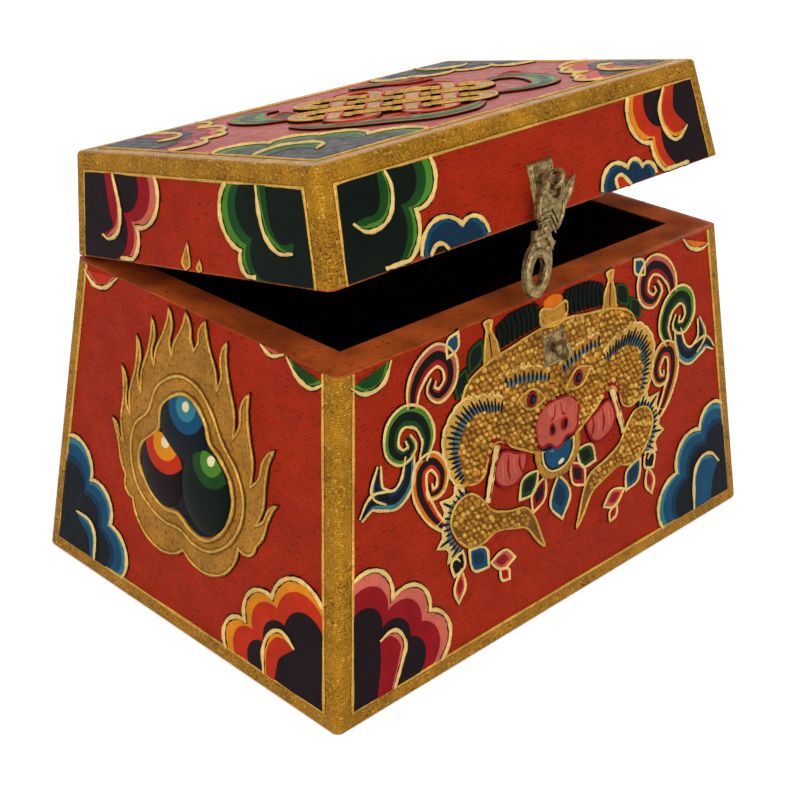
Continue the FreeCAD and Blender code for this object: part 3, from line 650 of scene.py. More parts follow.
def cloud(relief, corner, notches, layers, path, heel, bulge=0.33, low=-BASE_WIDTH, cut_off=()):
    """A scalloped cloud growing out of a corner, its colours deepening inwards, with a hook."""
    corner = Vector(corner)
    height = layered(relief, corner, notches, bulge, layers, list(cut_off) + [corner], low)
    hook(relief, path, heel, layers[0][1], layers[1][1], height)


def base_cloud(relief, side, high, notches, layers, path, heel):
    """A cloud in a panel's lower corner, from high on the side band to the lower band."""
    panel = relief.face.panel
    first = (side * panel(high), high)
    cloud(relief, (side * panel(BAND), BAND), [first] + notches, layers, path, heel)


def lid_cloud(relief, side, notches, layers, path, heel):
    """A cloud hanging from a rail's upper corner to the lid's lower edge."""
    panel = relief.face.panel
    corner, cut_off = (side * panel(LID_HIGH), LID_HIGH), [(side * panel(LID_LOW), LID_LOW)]
    cloud(relief, corner, notches, layers, path, heel, 0.3, LID_LOW, cut_off)


def low_cloud(relief, notches, path, fill):
    """A cloud rising from the lid's lower edge round a small hook."""
    middle = Vector(((notches[0][0] + notches[-1][0]) / 2, LID_LOW))
    height = layered(relief, middle, notches, 0.34, COLD[:3], [], LID_LOW)
    relief.pad(flow(path), fill, height)
    relief.line(flow(path), "cream", "low_hook", height)


def half_round(relief, points, outer, inner):
    """The small clouds that hang from the rim."""
    bow = flow(points)
    middle = (Vector(points[0]) + Vector(points[-1])) / 2
    for rank, (share, name) in enumerate(((1, outer), (0.7, inner))):
        relief.pad([middle.lerp(p, share) for p in bow], name, FIELD + LAYER * rank)
    outlined(relief, [middle.lerp(p, 0.97) for p in bow], "rim_cloud", FIELD)


def leaf(root, tip, width, belly=0.62):
    """A pointed petal from root to tip, widest at belly."""
    root, tip = Vector(root), Vector(tip)
    along = tip - root
    aside = Vector((-along.y, along.x)).normalized() * width / 2
    left, right = (flow([root, root + along * belly / 2 + out * 0.8, root + along * belly + out, tip])
                   for out in (aside, -aside))
    return left + right[-2:0:-1]


PETAL_HEARTS = {"green": "bottle", "crimson": "plum", "bottle": "ink", "blue": "indigo",
                "rose": "crimson", "scarlet": "crimson"}


def petal(relief, root, tip, width, name, line="cream"):
    """A petal with a darker heart and a raised edge."""
    edge = leaf(root, tip, width)
    heart = Vector(root).lerp(tip, 0.45)
    relief.pad(edge, name, 0.45)
    relief.pad([heart.lerp(p, 0.55) for p in edge], PETAL_HEARTS[name], 0.5)
    relief.line(edge, line, "edge", 0.4, True)


def mirrored(points):
    return [(-u, v) for u, v in points]


# Gold bands: a fine raised line along the inner edge of every band
def band_lines(face, ends, bend):
    """The line from height ends down or up to height bend, across and back."""
    relief = Relief(face)
    left = [(-face.panel(v), v) for v in (ends, bend)]
    relief.line(straight(left + mirrored(left)[::-1]), "straw", "band")
    return relief


for side in SIDES:
    band_lines(BASE[side], WALL_RISE - 0.6, BAND).build(f"base_{side}_band_line", "base_paint")
for side in SIDES:
    band_lines(LID[side], 0, LID_HIGH).build(f"lid_{side}_band_line", "lid_paint")
top_lines = Relief(LID["top"])
top_u, top_v = (size / 2 - LID_TOP * math.tan(LEAN) - BAND for size in (BASE_WIDTH, BASE_DEPTH))
corners = [(u * top_u, v * top_v) for u, v in SQUARE]
top_lines.line(straight(corners + corners[:1])[:-1], "straw", "band", closed=True)
top_lines.build("lid_top_band_line", "lid_paint")

# Clouds on the base: each colour with the share of the cloud it fills
WARM = [(1, "pink"), (0.89, "crimson"), (0.74, "plum")]
FIRE = [(1, "amber"), (0.9, "scarlet"), (0.75, "plum")]
COLD = [(1, "sky"), (0.92, "blue"), (0.81, "indigo"), (0.75, "navy")]
FRESH = [(1, "leaf"), (0.9, "green"), (0.8, "bottle")]
NEAR_HIGH = 46
NEAR_NOTCHES = [(-74.5, 35), (-60, 24.5), (-57, BAND)]
NEAR_HOOK = [(-77, BAND), (-72.8, 14), (-71.1, 18.6), (-73.2, 23.5), (-76.7, 25.1), (-80.9, 23.7)]
NEAR_HEEL = [(-81.3, 16.7), (-83.8, BAND)]
clouds = Relief(BASE["front"])
base_cloud(clouds, -1, NEAR_HIGH, NEAR_NOTCHES, WARM, NEAR_HOOK, NEAR_HEEL)
base_cloud(clouds, 1, 41, [(76, 35.5), (62.6, 23.6), (54.5, BAND)], COLD,
           [(72.3, BAND), (72.4, 19), (76.3, 24.5), (82.5, 24.2), (87.3, 19.5)],
           [(84.1, 14.6), (82.5, BAND)])
half_round(clouds, [(-83, 102.5), (-79, 99.5), (-74, 99), (-70, 101), (-67, 106)], "leaf", "green")
half_round(clouds, [(67, 106.5), (71, 102.5), (77, 100.5), (82, 101.5)], "pink", "orange")
clouds.build("front_clouds", "base_paint")

for side, flip in TWINS:
    clouds = Relief(BASE[side], flip)
    base_cloud(clouds, -1, 45, [(-49, 34), (-38, 22), (-31, BAND)], COLD,
               [(-46, BAND), (-45.7, 14.4), (-48.8, 19.1), (-56.5, 19.7)],
               [(-54.6, 16.7), (-49.8, 13), (-48.3, BAND)])
    base_cloud(clouds, 1, 38, [(41.8, 32), (30.8, 19), (23, BAND)], FIRE,
               [(41, BAND), (39.9, 12.6), (41, 18.1), (44.2, 22.1), (48.1, 23.1), (53.2, 20.1)],
               [(47.4, 14.5), (46.2, 10.8), (45.7, BAND)])
    half_round(clouds, [(-56, 104), (-50, 100.5), (-44, 101.5), (-38, 106.3)], "pink", "scarlet")
    half_round(clouds, [(29, 106.5), (34, 104.6), (39, 106.5)], "pink", "rose")
    half_round(clouds, [(40, 106.4), (45, 102), (51, 100.5), (56, 103.5)], "leaf", "green")
    clouds.build(f"{side}_clouds", "base_paint")

clouds = Relief(BASE["back"])
base_cloud(clouds, -1, NEAR_HIGH, NEAR_NOTCHES, COLD, NEAR_HOOK, NEAR_HEEL)
base_cloud(clouds, 1, NEAR_HIGH, mirrored(NEAR_NOTCHES), WARM, mirrored(NEAR_HOOK), mirrored(NEAR_HEEL))
clouds.build("back_clouds", "base_paint")

# Clouds on the lid's rails, and the two flame tips that reach up from the sides
RAIL_NOTCHES = [(-43, LID_HIGH), (-52, 13.7), (-67, LID_LOW)]
RAIL_HOOK = [(-60.5, LID_HIGH), (-59.2, 22.4), (-59.9, 17.6), (-62.5, 13.7), (-66.8, 11.9),
             (-71.4, 12.3), (-75, 15.3)]
RAIL_HEEL = [(-71.3, 15.8), (-66.6, 16), (-64.1, 18.9), (-63.3, 24), (-63.3, LID_HIGH)]
clouds = Relief(LID["front"])
lid_cloud(clouds, -1, RAIL_NOTCHES, FRESH, RAIL_HOOK, RAIL_HEEL)
lid_cloud(clouds, 1, [(45, LID_HIGH), (52.5, 10.8), (69.5, LID_LOW)], FIRE,
          [(62.7, LID_HIGH), (59, 20.3), (59.4, 14.6), (62.8, 10.1), (66.6, 9.4), (71.9, 12.6)],
          [(67.8, 16.7), (66.3, 19.9), (68.3, LID_HIGH)])
low_cloud(clouds, [(-53.3, LID_LOW), (-35.7, 5.8), (-25.9, LID_LOW)],
          [(-50, LID_LOW), (-47.4, 2.6), (-44.6, 2.4), (-42.8, LID_LOW)], "bottle")
low_cloud(clouds, [(25.3, LID_LOW), (39, 5.7), (46.2, 4.6), (52.5, LID_LOW)],
          [(32.7, LID_LOW), (32.4, 3.4), (35.5, 4.2), (39.3, LID_LOW)], "scarlet")
clouds.build("lid_front_clouds", "lid_paint")

clouds = Relief(LID["back"])
lid_cloud(clouds, -1, RAIL_NOTCHES, COLD, RAIL_HOOK, RAIL_HEEL)
lid_cloud(clouds, 1, mirrored(RAIL_NOTCHES), WARM, mirrored(RAIL_HOOK), mirrored(RAIL_HEEL))
clouds.build("lid_back_clouds", "lid_paint")

LID_FLAMES = (((-2.2, LID_LOW), (-0.6, 8.2), 3.6, 0.3), ((4.2, LID_LOW), (4.8, 3.4), 2.2, 0.3))
for side, flip in TWINS:
    clouds = Relief(LID[side], flip)
    lid_cloud(clouds, -1, [(-14.6, LID_HIGH), (-25.3, 11), (-34.5, LID_LOW)], WARM,
              [(-35.7, LID_HIGH), (-33.1, 15.7), (-35, 9.1), (-40.2, 6.5), (-43.5, 7.7)],
              [(-37.7, 10.6), (-38.9, 15.4), (-40.2, LID_HIGH)])
    lid_cloud(clouds, 1, [(19, LID_HIGH), (24, 8), (30, LID_LOW)], FRESH,
              [(32.4, LID_HIGH), (33.3, 18.8), (35.4, 12.7), (40.4, 8.7), (46.4, 8.9)],
              [(46.6, 11.6), (41.3, 11.2), (37.3, 16.6), (36.2, LID_HIGH)])
    for flame_tip in LID_FLAMES:
        clouds.edged(leaf(*flame_tip), "gold", "straw", 0.4, stroke="flame_tip")
    clouds.build(f"lid_{side}_clouds", "lid_paint")

# Flaming jewels on the two sides
FLAME_TIPS = [(-38, 60), (-34, 79), (-27, 91), (-20, 99), (-12, 104.4), (-4, 105.2), (5, 105.4),
              (15, 102), (26, 90), (38, 77), (41, 61)]
FLAME_NOTCHES = [(-30, 43), (-32, 54), (-29, 64), (-24, 73), (-18, 84), (-9.7, 90), (0.6, 95),
                 (12, 86.4), (20.6, 74.6), (29.4, 62.4), (33, 51.6), (33.4, 45)]
FLAME_FOOT = [(33.4, 45), (25.8, 41.4), (0.2, 29.8), (-26, 37), (-30, 43)]
FLAME_HEART = (0, 60)
FLAME_SWAY = 0.05
HALO = [(-4.4, 80), (-12.6, 73.5), (-14.2, 65), (-21.8, 57.5), (-22.7, 50.4), (-17, 44), (-9.8, 40.4),
        (-2.1, 41), (4.2, 38), (12.2, 38), (19.5, 44.5), (22.8, 53.2), (21, 61), (15.7, 66.5),
        (10.8, 69.5), (8, 75.2), (2.6, 79.8)]
HALO_RIM = [(-6.2, 85), (-15.7, 78.5), (-19.7, 69), (-26.2, 62), (-27.7, 53), (-24.2, 43), (-17, 37.8),
            (-9.2, 35.6), (-1.2, 36), (4.8, 34), (13.1, 34.6), (21.4, 40.5), (26.3, 49), (26.8, 57.5),
            (23.1, 65), (15.8, 71.6), (10.4, 79), (3.2, 84.6)]
JEWEL_RISE = 1.3
JEWEL_BASE = 0.8
JEWEL_STEP = 0.15
# Each jewel's centre, radius, stretch and turn
JEWELS = {
    "blue_jewel": ((-2, 69.6), 10.4, 1.12, 0),
    "red_jewel": ((-11.2, 52.8), 10.4, 1.16, 110),
    "green_jewel": ((10, 53.2), 11.2, 1.2, 100),
}
# Its highlight, the rings round that and its shade
JEWEL_LOOKS = {
    "blue_jewel": ((-0.6, 77.2), ((8.4, "blue"), (4.6, "sky"), (1.7, "white")), "navy"),
    "red_jewel": ((-9.6, 62.4), ((10, "scarlet"), (5.8, "amber"), (1.9, "white")), "plum"),
    "green_jewel": ((12.4, 64.4), ((8.4, "green"), (4.8, "leaf"), (1.7, "white")), "bottle"),
}
for name, ((u, v), rings, shade) in JEWEL_LOOKS.items():
    tones = [(reach, TONES[tone]) for reach, tone in rings]
    PAINTS[name] = jewel_paint(name, BASE["right"].at(-u, v, 1), tones, TONES[shade])


def tongue(a, tip, b, sway):
    """A flame between two notches: full below, drawn out to its tip, swaying aside and back."""
    a, tip, b = Vector(a), Vector(tip), Vector(b)
    foot = (a + b) / 2
    along = tip - foot
    across = Vector((-along.y, along.x)) * sway
    left, right = [a], []
    for t in (0.3, 0.6, 0.85):
        spine = foot + along * t + across * math.sin(2 * math.pi * t)
        half = (a - foot) * (1 - t ** 1.5) * 0.88
        left.append(spine + half)
        right.append(spine - half)
    return flow(left + [tip])[:-1] + flow([tip] + right[::-1] + [b])[:-1]


def flame():
    """The outline of all the tongues and the scalloped foot."""
    outline = []
    for i, tip in enumerate(FLAME_TIPS):
        sway = FLAME_SWAY if i < len(FLAME_TIPS) / 2 else -FLAME_SWAY
        outline += tongue(FLAME_NOTCHES[i], tip, FLAME_NOTCHES[i + 1], sway)
    return outline + scallops(FLAME_FOOT, 0.3, FLAME_HEART)[:-1]


def ridge(relief, path, stroke, shade_base, base):
    """A raised gilt line lying on a broader bronze one, all round."""
    relief.line(path, "bronze", stroke + "_shade", shade_base, True)
    relief.line(path, "straw", stroke, base, True)


flames, halo, halo_rim = flame(), flow(HALO, True), flow(HALO_RIM, True)
for side, flip in TWINS:
    jewels = Relief(BASE[side], flip)
    jewels.pad(flames, "gold", 0.5)
    ridge(jewels, flames, "flame", 0.46, 0.45)
    jewels.pad(halo_rim, "gold", 0.75)
    ridge(jewels, halo_rim, "halo_rim", 0.7, 0.7)
    jewels.pad(halo, "navy", 1.0)
    for rank, (name, (centre, radius, stretch, turn)) in enumerate(JEWELS.items()):
        base = JEWEL_BASE + JEWEL_STEP * rank
        jewels.dome(centre, radius, JEWEL_RISE, name, base, stretch, turn, around=40, rings=8)
    ridge(jewels, halo, "halo", 0.95, 1.0)
    jewels.build(f"{side}_jewels", "gilt_paste", [f"{side}_jewel_relief"])

# Lid top: corner clouds, endless knot and its scarves
clouds = Relief(LID["top"])
cloud(clouds, corners[0], [(-top_u, -6), (-62, -13), (-49, -20), (-46, -37), (-36, -top_v)], FRESH,
      [(-top_u, -24), (-66, -22), (-60, -27), (-60, -34), (-66, -38)],
      [(-65, -33), (-67, -28), (-top_u, -29)])
cloud(clouds, corners[3], [(-top_u, 15), (-61, 20), (-50, 26), (-47, 40), (-40, top_v)], WARM,
      [(-60, top_v), (-57, 42), (-58, 35), (-63, 31), (-68, 33)], [(-64, 37), (-64, top_v)])
cloud(clouds, corners[2], [(38, top_v), (45, 37), (58, 29), (69, 21), (top_u, 8)], COLD,
      [(60, top_v), (57, 42), (60, 35), (65, 32), (70, 34)], [(66, 38), (66, top_v)])
cloud(clouds, corners[1], [(top_u, -16), (61, -20), (56, -34), (46, -38), (42, -top_v)], FIRE,
      [(60, -top_v), (57, -42), (60, -35), (65, -31), (70, -33)], [(66, -38), (66, -top_v)])
clouds.build("lid_top_clouds", "lid_paint")

KNOT_PITCH = 12.0
HALF_PITCH = KNOT_PITCH / 2
HALF_STRAND = 2.4
KNOT_OVER = 1.0
KNOT_UNDER = 0.8
KNOT_LINES = [KNOT_PITCH * (i - 1.5) for i in range(4)]
KNOT_REACH = KNOT_LINES[-1] + HALF_PITCH
KNOT_EDGES = ("straw", "scarlet")
CELL = HALF_PITCH - HALF_STRAND - 0.5
CELL_TONES = ("scarlet", "green", "amber", "indigo")
KNOT_SCARVES = (
    ([(-31, 14), (-35, 23), (-33, 33), (-25, 38.5), (-18, 36)], (2, 9, 12, 10, 2)),
    ([(-41, 2), (-40, -8), (-34, -18), (-26, -28), (-19, -37), (-8, -39.5), (3, -36)],
     (1.6, 6, 8, 9, 9, 7, 1.6)),
    ([(34, -7), (43, -5.4), (47.4, -13), (43, -25), (35, -33), (26, -33), (16, -27)],
     (1.6, 6, 8, 9, 8, 6, 1.6)),
    ([(19, 41), (27, 38.4), (35, 33), (43, 30)], (1.6, 7, 8, 2)),
)
KNOT_LEAVES = (((-30, 16), (-21, 30), 7), ((-37, -13), (-22, -16.4), 6), ((-29, -24), (-14, -28), 6.4),
               ((46, -9), (55, -0.6), 7), ((28, 34), (40, 22.6), 6.4))


def diagonal(points, turn):
    """Points of the knot's square lattice set on its corner, turned by quarter turns."""
    angle = math.radians(45 + 90 * turn)
    sine, cosine = math.sin(angle), math.cos(angle)
    return [Vector((x * cosine - y * sine, x * sine + y * cosine)) for x, y in points]


def crossing(knot, x, y, over, turn):
    """One strand's stretch through a crossing, whole where it runs over."""
    low, high = y - HALF_PITCH, y + HALF_PITCH
    height = KNOT_OVER if over else KNOT_UNDER
    strand = [(x + u * HALF_STRAND, y + v * HALF_PITCH) for u, v in SQUARE]
    knot.pad(diagonal(strand, turn), "gold", height)
    spans = [(low, high)] if over else [(low, y - HALF_STRAND), (y + HALF_STRAND, high)]
    for edge in (x - HALF_STRAND, x + HALF_STRAND):
        for span in spans:
            ends = diagonal([(edge, end) for end in span], turn)
            knot.line(straight(ends), KNOT_EDGES[turn], "band", height - SUNK)


def knot_loop(knot, middle, turn):
    """A strand's half round at the knot's edge."""
    angles = [math.pi * k / 12 for k in range(13)]
    loops = []
    for radius in (HALF_PITCH - HALF_STRAND, HALF_PITCH + HALF_STRAND):
        bow = [(middle + radius * math.cos(a), KNOT_REACH + radius * math.sin(a)) for a in angles]
        loops.append(diagonal(bow, turn))
    knot.pad(loops[0] + loops[1][::-1], "gold", KNOT_UNDER)
    for loop in loops:
        knot.line(loop, KNOT_EDGES[turn % 2], "band", KNOT_UNDER - SUNK)


knot = Relief(LID["top"])
for turn in range(2):
    for i, x in enumerate(KNOT_LINES):
        for j, y in enumerate(KNOT_LINES):
            crossing(knot, x, y, (i + j) % 2 == 0, turn)
for turn in range(4):
    for first in (0, 2):
        knot_loop(knot, KNOT_LINES[first] + HALF_PITCH, turn)
for i, x in enumerate(KNOT_LINES[:-1]):
    for j, y in enumerate(KNOT_LINES[:-1]):
        cell = [(x + HALF_PITCH + u * CELL, y + HALF_PITCH + v * CELL) for u, v in SQUARE]
        knot.pad(diagonal(cell, 0), CELL_TONES[(i + 2 * j) % 4], 0.35)
for points, widths in KNOT_SCARVES:
    ribbon(knot, points, widths, ("leaf", "green", "leaf"), "scarlet", 0.6, "flat_scarf")
for form in KNOT_LEAVES:
    petal(knot, *form, "green", "scarlet")
knot.build("lid_knot", "gilt_paste", ["lid_knot_relief"])

# Scaled mask with its scarves on the front, drawn for the right half and mirrored
BOSS = 1.08
BOSS_SIZES = (0.62, 1.06)
BOSS_PITCH = 2.12
BOSS_ROW = 0.86
BOSS_DRIFT = 0.42
BOSS_RISE = 0.95
BOSS_RISE_UNDER_HASP = 0.55
BOSS_TONES = ("bead", "bead", "bead", "straw", "straw", "gold")
HASP_REACH = 26
HASP_FOOT = 79
CHEEK_IN = [(25, 76.3), (32, 78.8), (38, 78.4), (42.5, 75), (44, 69.2), (43, 64), (42.4, 61)]
CHEEK_OUT = [(24, 80.2), (28.5, 82.8), (34.7, 84.2), (41, 85), (46, 81.9), (49.4, 77.5), (50, 72.5),
             (48.7, 67), (47.3, 62.5), (44.4, 59.6)]
MASK_TOP = [(0, 97), (8, 96.5), (18, 95), (26, 94), (32, 92.5), (37, 90.5), (40, 87.5), (41, 85)]
MASK_FOOT = [(44.4, 59.6), (41, 58.2), (37, 57.5), (33.5, 59), (31.5, 63.5), (28.5, 67.2), (24.5, 66.4),
             (20, 63), (14.5, 60), (9.5, 57.5), (0, 55)]
MASK_STEP = 1.5
MASK_FIELD = 0.5
BROW = [(3, 79.3), (8, 81), (15.2, 82.5), (21.7, 82.8)]
BROW_TOP = [(2.3, 82.4), (7, 84.9), (15, 86.9), (22, 87.1)]
EYE = (11, 75.8)
EYE_ROOM = (5.6, 3.6)
EYE_CORNERS = ((4.6, 74), (17.4, 77.6), 6.2)
EYE_RINGS = ((2.5, "ink", 0.72), (2.2, "crimson", 0.84), (1.7, "ink", 0.95), (0.9, "indigo", 1.1))
SNOUT = [(0, 72.3), (4.8, 71.9), (8.8, 69.6), (10.5, 66.2), (9.8, 63.4), (9.6, 60.6), (7.4, 58.4),
         (4.2, 58.6), (1.8, 56.6), (0, 56)]
NOSE_TIP = (0, 68.6)
NOSE_WING = (5.6, 65.2)
NOSE_FOLD = [(1.2, 71), (2.2, 66.8), (4.6, 66.2)]
NOSTRIL = (3.05, 63.2)
NOSTRIL_RINGS = ((1.5, "crimson", 1.55, 1.5), (0.95, "ink", 1.7, 1.7))
NOSTRIL_TURN = 15
LIPS = [(9.6, 58), (8.8, 52.2), (5.2, 48.2), (0, 47)]
MOUTH_ROOM = (11, 60)
MOUTH = Vector((0, 54))
TOOTH = (1.2, 50.8)
CHIN_PETAL = ((0, 46.4), (1, 30.5), 9.4, "blue")
HAND = [(14.5, 58.6), (19, 60.8), (25.5, 63.3), (29, 58), (27.5, 53.2), (22, 50.8), (17, 52.5)]
FINGERS = 4
FINGER = ((16.5, 53), (18, 57), (17.4, 60.4))
FINGER_STEP = ((3, 0.3), (2.6, 0), (2.6, 0.5))
SLEEVE = [(31.5, 61.5), (30, 67.4), (26.4, 68.2), (22.6, 64.6)]
STICK = [(27.6, 66.4), (30.4, 58.3), (33.2, 49.6)]
STICK_SPLIT = [(28, 65), (30.4, 58.3), (32.8, 51)]
PAW = [(46, 54), (40, 55), (35, 51), (31, 46), (24, 43), (16, 41), (12, 36), (9.5, 29), (8, 24.5),
       (11.5, 28), (16, 34), (22, 36.5), (30, 38.5), (36, 37), (42, 38), (47, 43), (49, 49)]
PAW_BACK = [(41, 55), (46, 53.6), (49, 49), (48.4, 43), (44, 37.6)]
PAW_EDGE = [(43, 59.4), (50, 57), (53.6, 50), (53, 42), (47, 34)]
CLAW = 15
PETALS = (((9.4, 51.4), (18.6, 44.7), 7.4, "green"), ((6.2, 48.2), (12.8, 38), 6.4, "crimson"),
          ((45, 38), (49, 31), 6, "bottle"), ((42, 37), (34, 28), 7.5, "blue"),
          ((46, 32), (48, 21.5), 4.6, "rose"), ((33, 29), (22, 26.5), 6, "rose"),
          ((29, 25), (25, 20), 4, "scarlet"))
MANE = [(6, 98), (5.5, 104.6), (10, 105.8), (19, 105.4), (25, 103), (25, 95.5), (16, 97)]
LOCKS = 9
LOCK_FOOT = (7, 97.8)
LOCK_STEP = (2.15, -0.25)
LOCK_BEND = (-0.4, 101.5)
LOCK_TOP = (0.8, 105.6)
LOCK_DROOP = 0.02
EARS = (((37, 92.6), (31.6, 100.6), 5.4), ((38.6, 94), (43, 86.6), 5))
HORN = [(24, 93.2), (25.4, 99), (27.5, 103), (26.8, 105.6), (30, 105.8), (29.2, 103), (30.2, 99),
        (31, 93.4)]
HORN_SPLIT = [(27.6, 94.5), (28.3, 102)]
CUP = [(-4.6, 102.6), (-5.7, 100.2), (-4.6, 97.4), (0.8, 96), (5.8, 97), (7, 99.8), (6.3, 102.4),
       (0.9, 101.4)]
PEACH = (0.9, 103.6)


def both(path):
    """A half outline and its mirror image as one closed outline."""
    return path + [Vector((-p.x, p.y)) for p in path[-2:0:-1]]


def inside(point, outline):
    """Whether a point lies within an outline."""
    u, v = point
    hit = False
    for a, b in zip(outline, outline[1:] + outline[:1]):
        if (a[1] > v) != (b[1] > v) and u < a[0] + (v - a[1]) * (b[0] - a[0]) / (b[1] - a[1]):
            hit = not hit
    return hit


def apart(point, path):
    """How far a point is from the nearest point of a path."""
    return min((Vector(point) - Vector(p)).length for p in path)


def spaced(path, count):
    """Points at even shares of a path's length."""
    walk = [0.0]
    for a, b in zip(path, path[1:]):
        walk.append(walk[-1] + (b - a).length)
    spots, i = [], 0
    for k in range(count + 1):
        far = walk[-1] * k / count
        while i < len(path) - 2 and walk[i + 1] < far:
            i += 1
        spots.append(path[i].lerp(path[i + 1], (far - walk[i]) / (walk[i + 1] - walk[i])))
    return spots


def fringe(relief, inner, outer, count, rise, field="straw", tufted=False):
    """A hairy border between two lines: field, grey root, dark hairs and a scalloped or tufted edge."""
    feet, heads = spaced(flow(inner), count), spaced(flow(outer), count)
    if tufted:
        heads = [a.lerp(b, 1.35 if i % 3 == 1 else 0.72) for i, (a, b) in enumerate(zip(feet, heads))]
        edge = heads
    else:
        edge = scallops(heads[::2], 0.16, sum(feet, Vector((0, 0))) / len(feet))
    relief.pad(feet + edge[::-1], field, rise)
    roots = [a.lerp(b, 0.42) for a, b in zip(feet, heads)]
    relief.pad(feet + roots[::-1], "steel", rise + COAT)
    for i, (a, b) in enumerate(zip(feet, heads)):
        hair = straight([a, a.lerp(b, 0.66 if i % 2 else 0.82)], 1.2)
        relief.line(hair, "navy", "hair", rise)
    relief.line(edge, "cream", "edge", rise - SUNK)


def scales(relief, outline, keep_clear):
    """Rows of round bosses filling an outline; low where the hasp passes over them."""
    chance = random.Random(7)
    outline = [tuple(p) for p in outline]
    us, vs = zip(*outline)
    row, v = 0, min(vs)
    while v < max(vs):
        u = min(us) + (row % 2) * BOSS_PITCH / 2
        while u < max(us):
            spot = tuple(c + chance.uniform(-BOSS_DRIFT, BOSS_DRIFT) for c in (u, v))
            if inside(spot, outline) and apart(spot, outline) > BOSS * 0.7 and not keep_clear(spot):
                low = abs(spot[0]) < HASP_REACH and spot[1] > HASP_FOOT
                name = chance.choice(BOSS_TONES)
                radius = BOSS * chance.uniform(*BOSS_SIZES)
                rise = BOSS_RISE_UNDER_HASP if low else BOSS_RISE
                relief.dome(spot, radius, rise, name, MASK_FIELD, around=10)
            u += BOSS_PITCH
        row += 1
        v += BOSS_PITCH * BOSS_ROW


FACE_EDGE = both(flow(MASK_TOP, step=MASK_STEP) + flow(CHEEK_OUT[4:], step=MASK_STEP)
                 + flow(MASK_FOOT, step=MASK_STEP)[1:])
MUZZLE = both(flow(SNOUT))
CHEEK_BAND = flow(CHEEK_IN) + flow(CHEEK_OUT)[::-1]
BROW_BAND = flow(BROW) + flow(BROW_TOP)[::-1]


def face_clear(spot):
    """Where the mask's features leave no room for bosses."""
    u, v = abs(spot[0]), spot[1]
    beside_eye = ((u - EYE[0]) / EYE_ROOM[0]) ** 2 + ((v - EYE[1]) / EYE_ROOM[1]) ** 2 < 1
    on_mouth = u < MOUTH_ROOM[0] and v < MOUTH_ROOM[1]
    on_band = any(inside((u, v), band) for band in (CHEEK_BAND, BROW_BAND))
    return beside_eye or on_mouth or on_band or inside(spot, MUZZLE)


def draw_eye(mask):
    mask.edged(leaf(*EYE_CORNERS), "gold", "straw", 0.75, stroke="eyelid")
    for radius, name, base in EYE_RINGS:
        mask.dome(EYE, radius, 0.3, name, base, stretch=1.1, turn=80, around=20)


def draw_hand(mask):
    """The hand at the mouth's corner with its fingers, and the stick it holds."""
    mask.edged(flow(HAND, True), "rose", "crimson", 0.6)
    for k in range(FINGERS):
        finger = flow([(u + k * du, v + k * dv) for (u, v), (du, dv) in zip(FINGER, FINGER_STEP)])
        mask.line(finger, ("crimson", "pink")[k % 2], "finger", 0.55)
    mask.line(flow(SLEEVE), "crimson", "sleeve", 0.7)
    mask.line(flow(STICK), "cream", "stick", 0.6)
    mask.line(flow(STICK_SPLIT), "ink", "stick_split", 1.4)


def draw_paw(mask):
    fringe(mask, PAW_BACK, PAW_EDGE, 15, 0.35, "cream", True)
    paw = flow(PAW, True, 1.4)
    mask.edged(paw, "bronze", "straw", 0.55)
    scales(mask, paw, lambda spot: spot[0] < CLAW)


def draw_crest(mask):
    """Locks of the mane, an ear and a horn."""
    mask.pad(MANE, "ink", 0.3)
    for k in range(LOCKS):
        u, v = LOCK_FOOT[0] + LOCK_STEP[0] * k, LOCK_FOOT[1] + LOCK_STEP[1] * k
        top = LOCK_TOP[1] - LOCK_DROOP * (k - 3) ** 2 * k
        lock = flow([(u, v), (u + LOCK_BEND[0], LOCK_BEND[1]), (u + LOCK_TOP[0], top)])
        mask.line(lock, "bottle", "lock", 0.3)
    for ear in EARS:
        mask.edged(leaf(*ear), "bottle", "green", 0.4)
    mask.edged(flow(HORN), "bead", "straw", 0.65, 0.15, False)
    mask.line(straight(HORN_SPLIT, 2), "ink", "horn_split", 0.62)


def draw_snout(mask):
    mask.edged(MUZZLE, "rose", "crimson", 1.0, 0.15, stroke="muzzle")
    mask.dome(NOSE_TIP, 3.4, 0.6, "pink", 0.95, stretch=1.4, around=24, rings=4)
    for side in (-1, 1):
        wing, nostril = ((side * u, v) for u, v in (NOSE_WING, NOSTRIL))
        mask.dome(wing, 3.5, 0.7, "rose", 0.95, stretch=1.2, turn=90, around=20, rings=4)
        mask.line(flow([(side * u, v) for u, v in NOSE_FOLD]), "crimson", "fold", 1.35)
        for radius, name, base, stretch in NOSTRIL_RINGS:
            mask.dome(nostril, radius, 0.2, name, base, stretch, 90 - side * NOSTRIL_TURN, around=14)


def draw_mouth(mask):
    jaw = flow(mirrored(LIPS) + LIPS[-2::-1])
    mask.pad(jaw, "navy", 0.8)
    mask.pad([MOUTH.lerp(p, 0.66) for p in jaw], "blue", 0.9)
    mask.line([MOUTH.lerp(p, 0.8) for p in jaw], "cream", "gum", 0.8)
    mask.line(jaw, "bead", "lip", 0.6)
    mask.dome(TOOTH, 0.8, 0.3, "white", 0.9, stretch=1.9, turn=15, around=14)


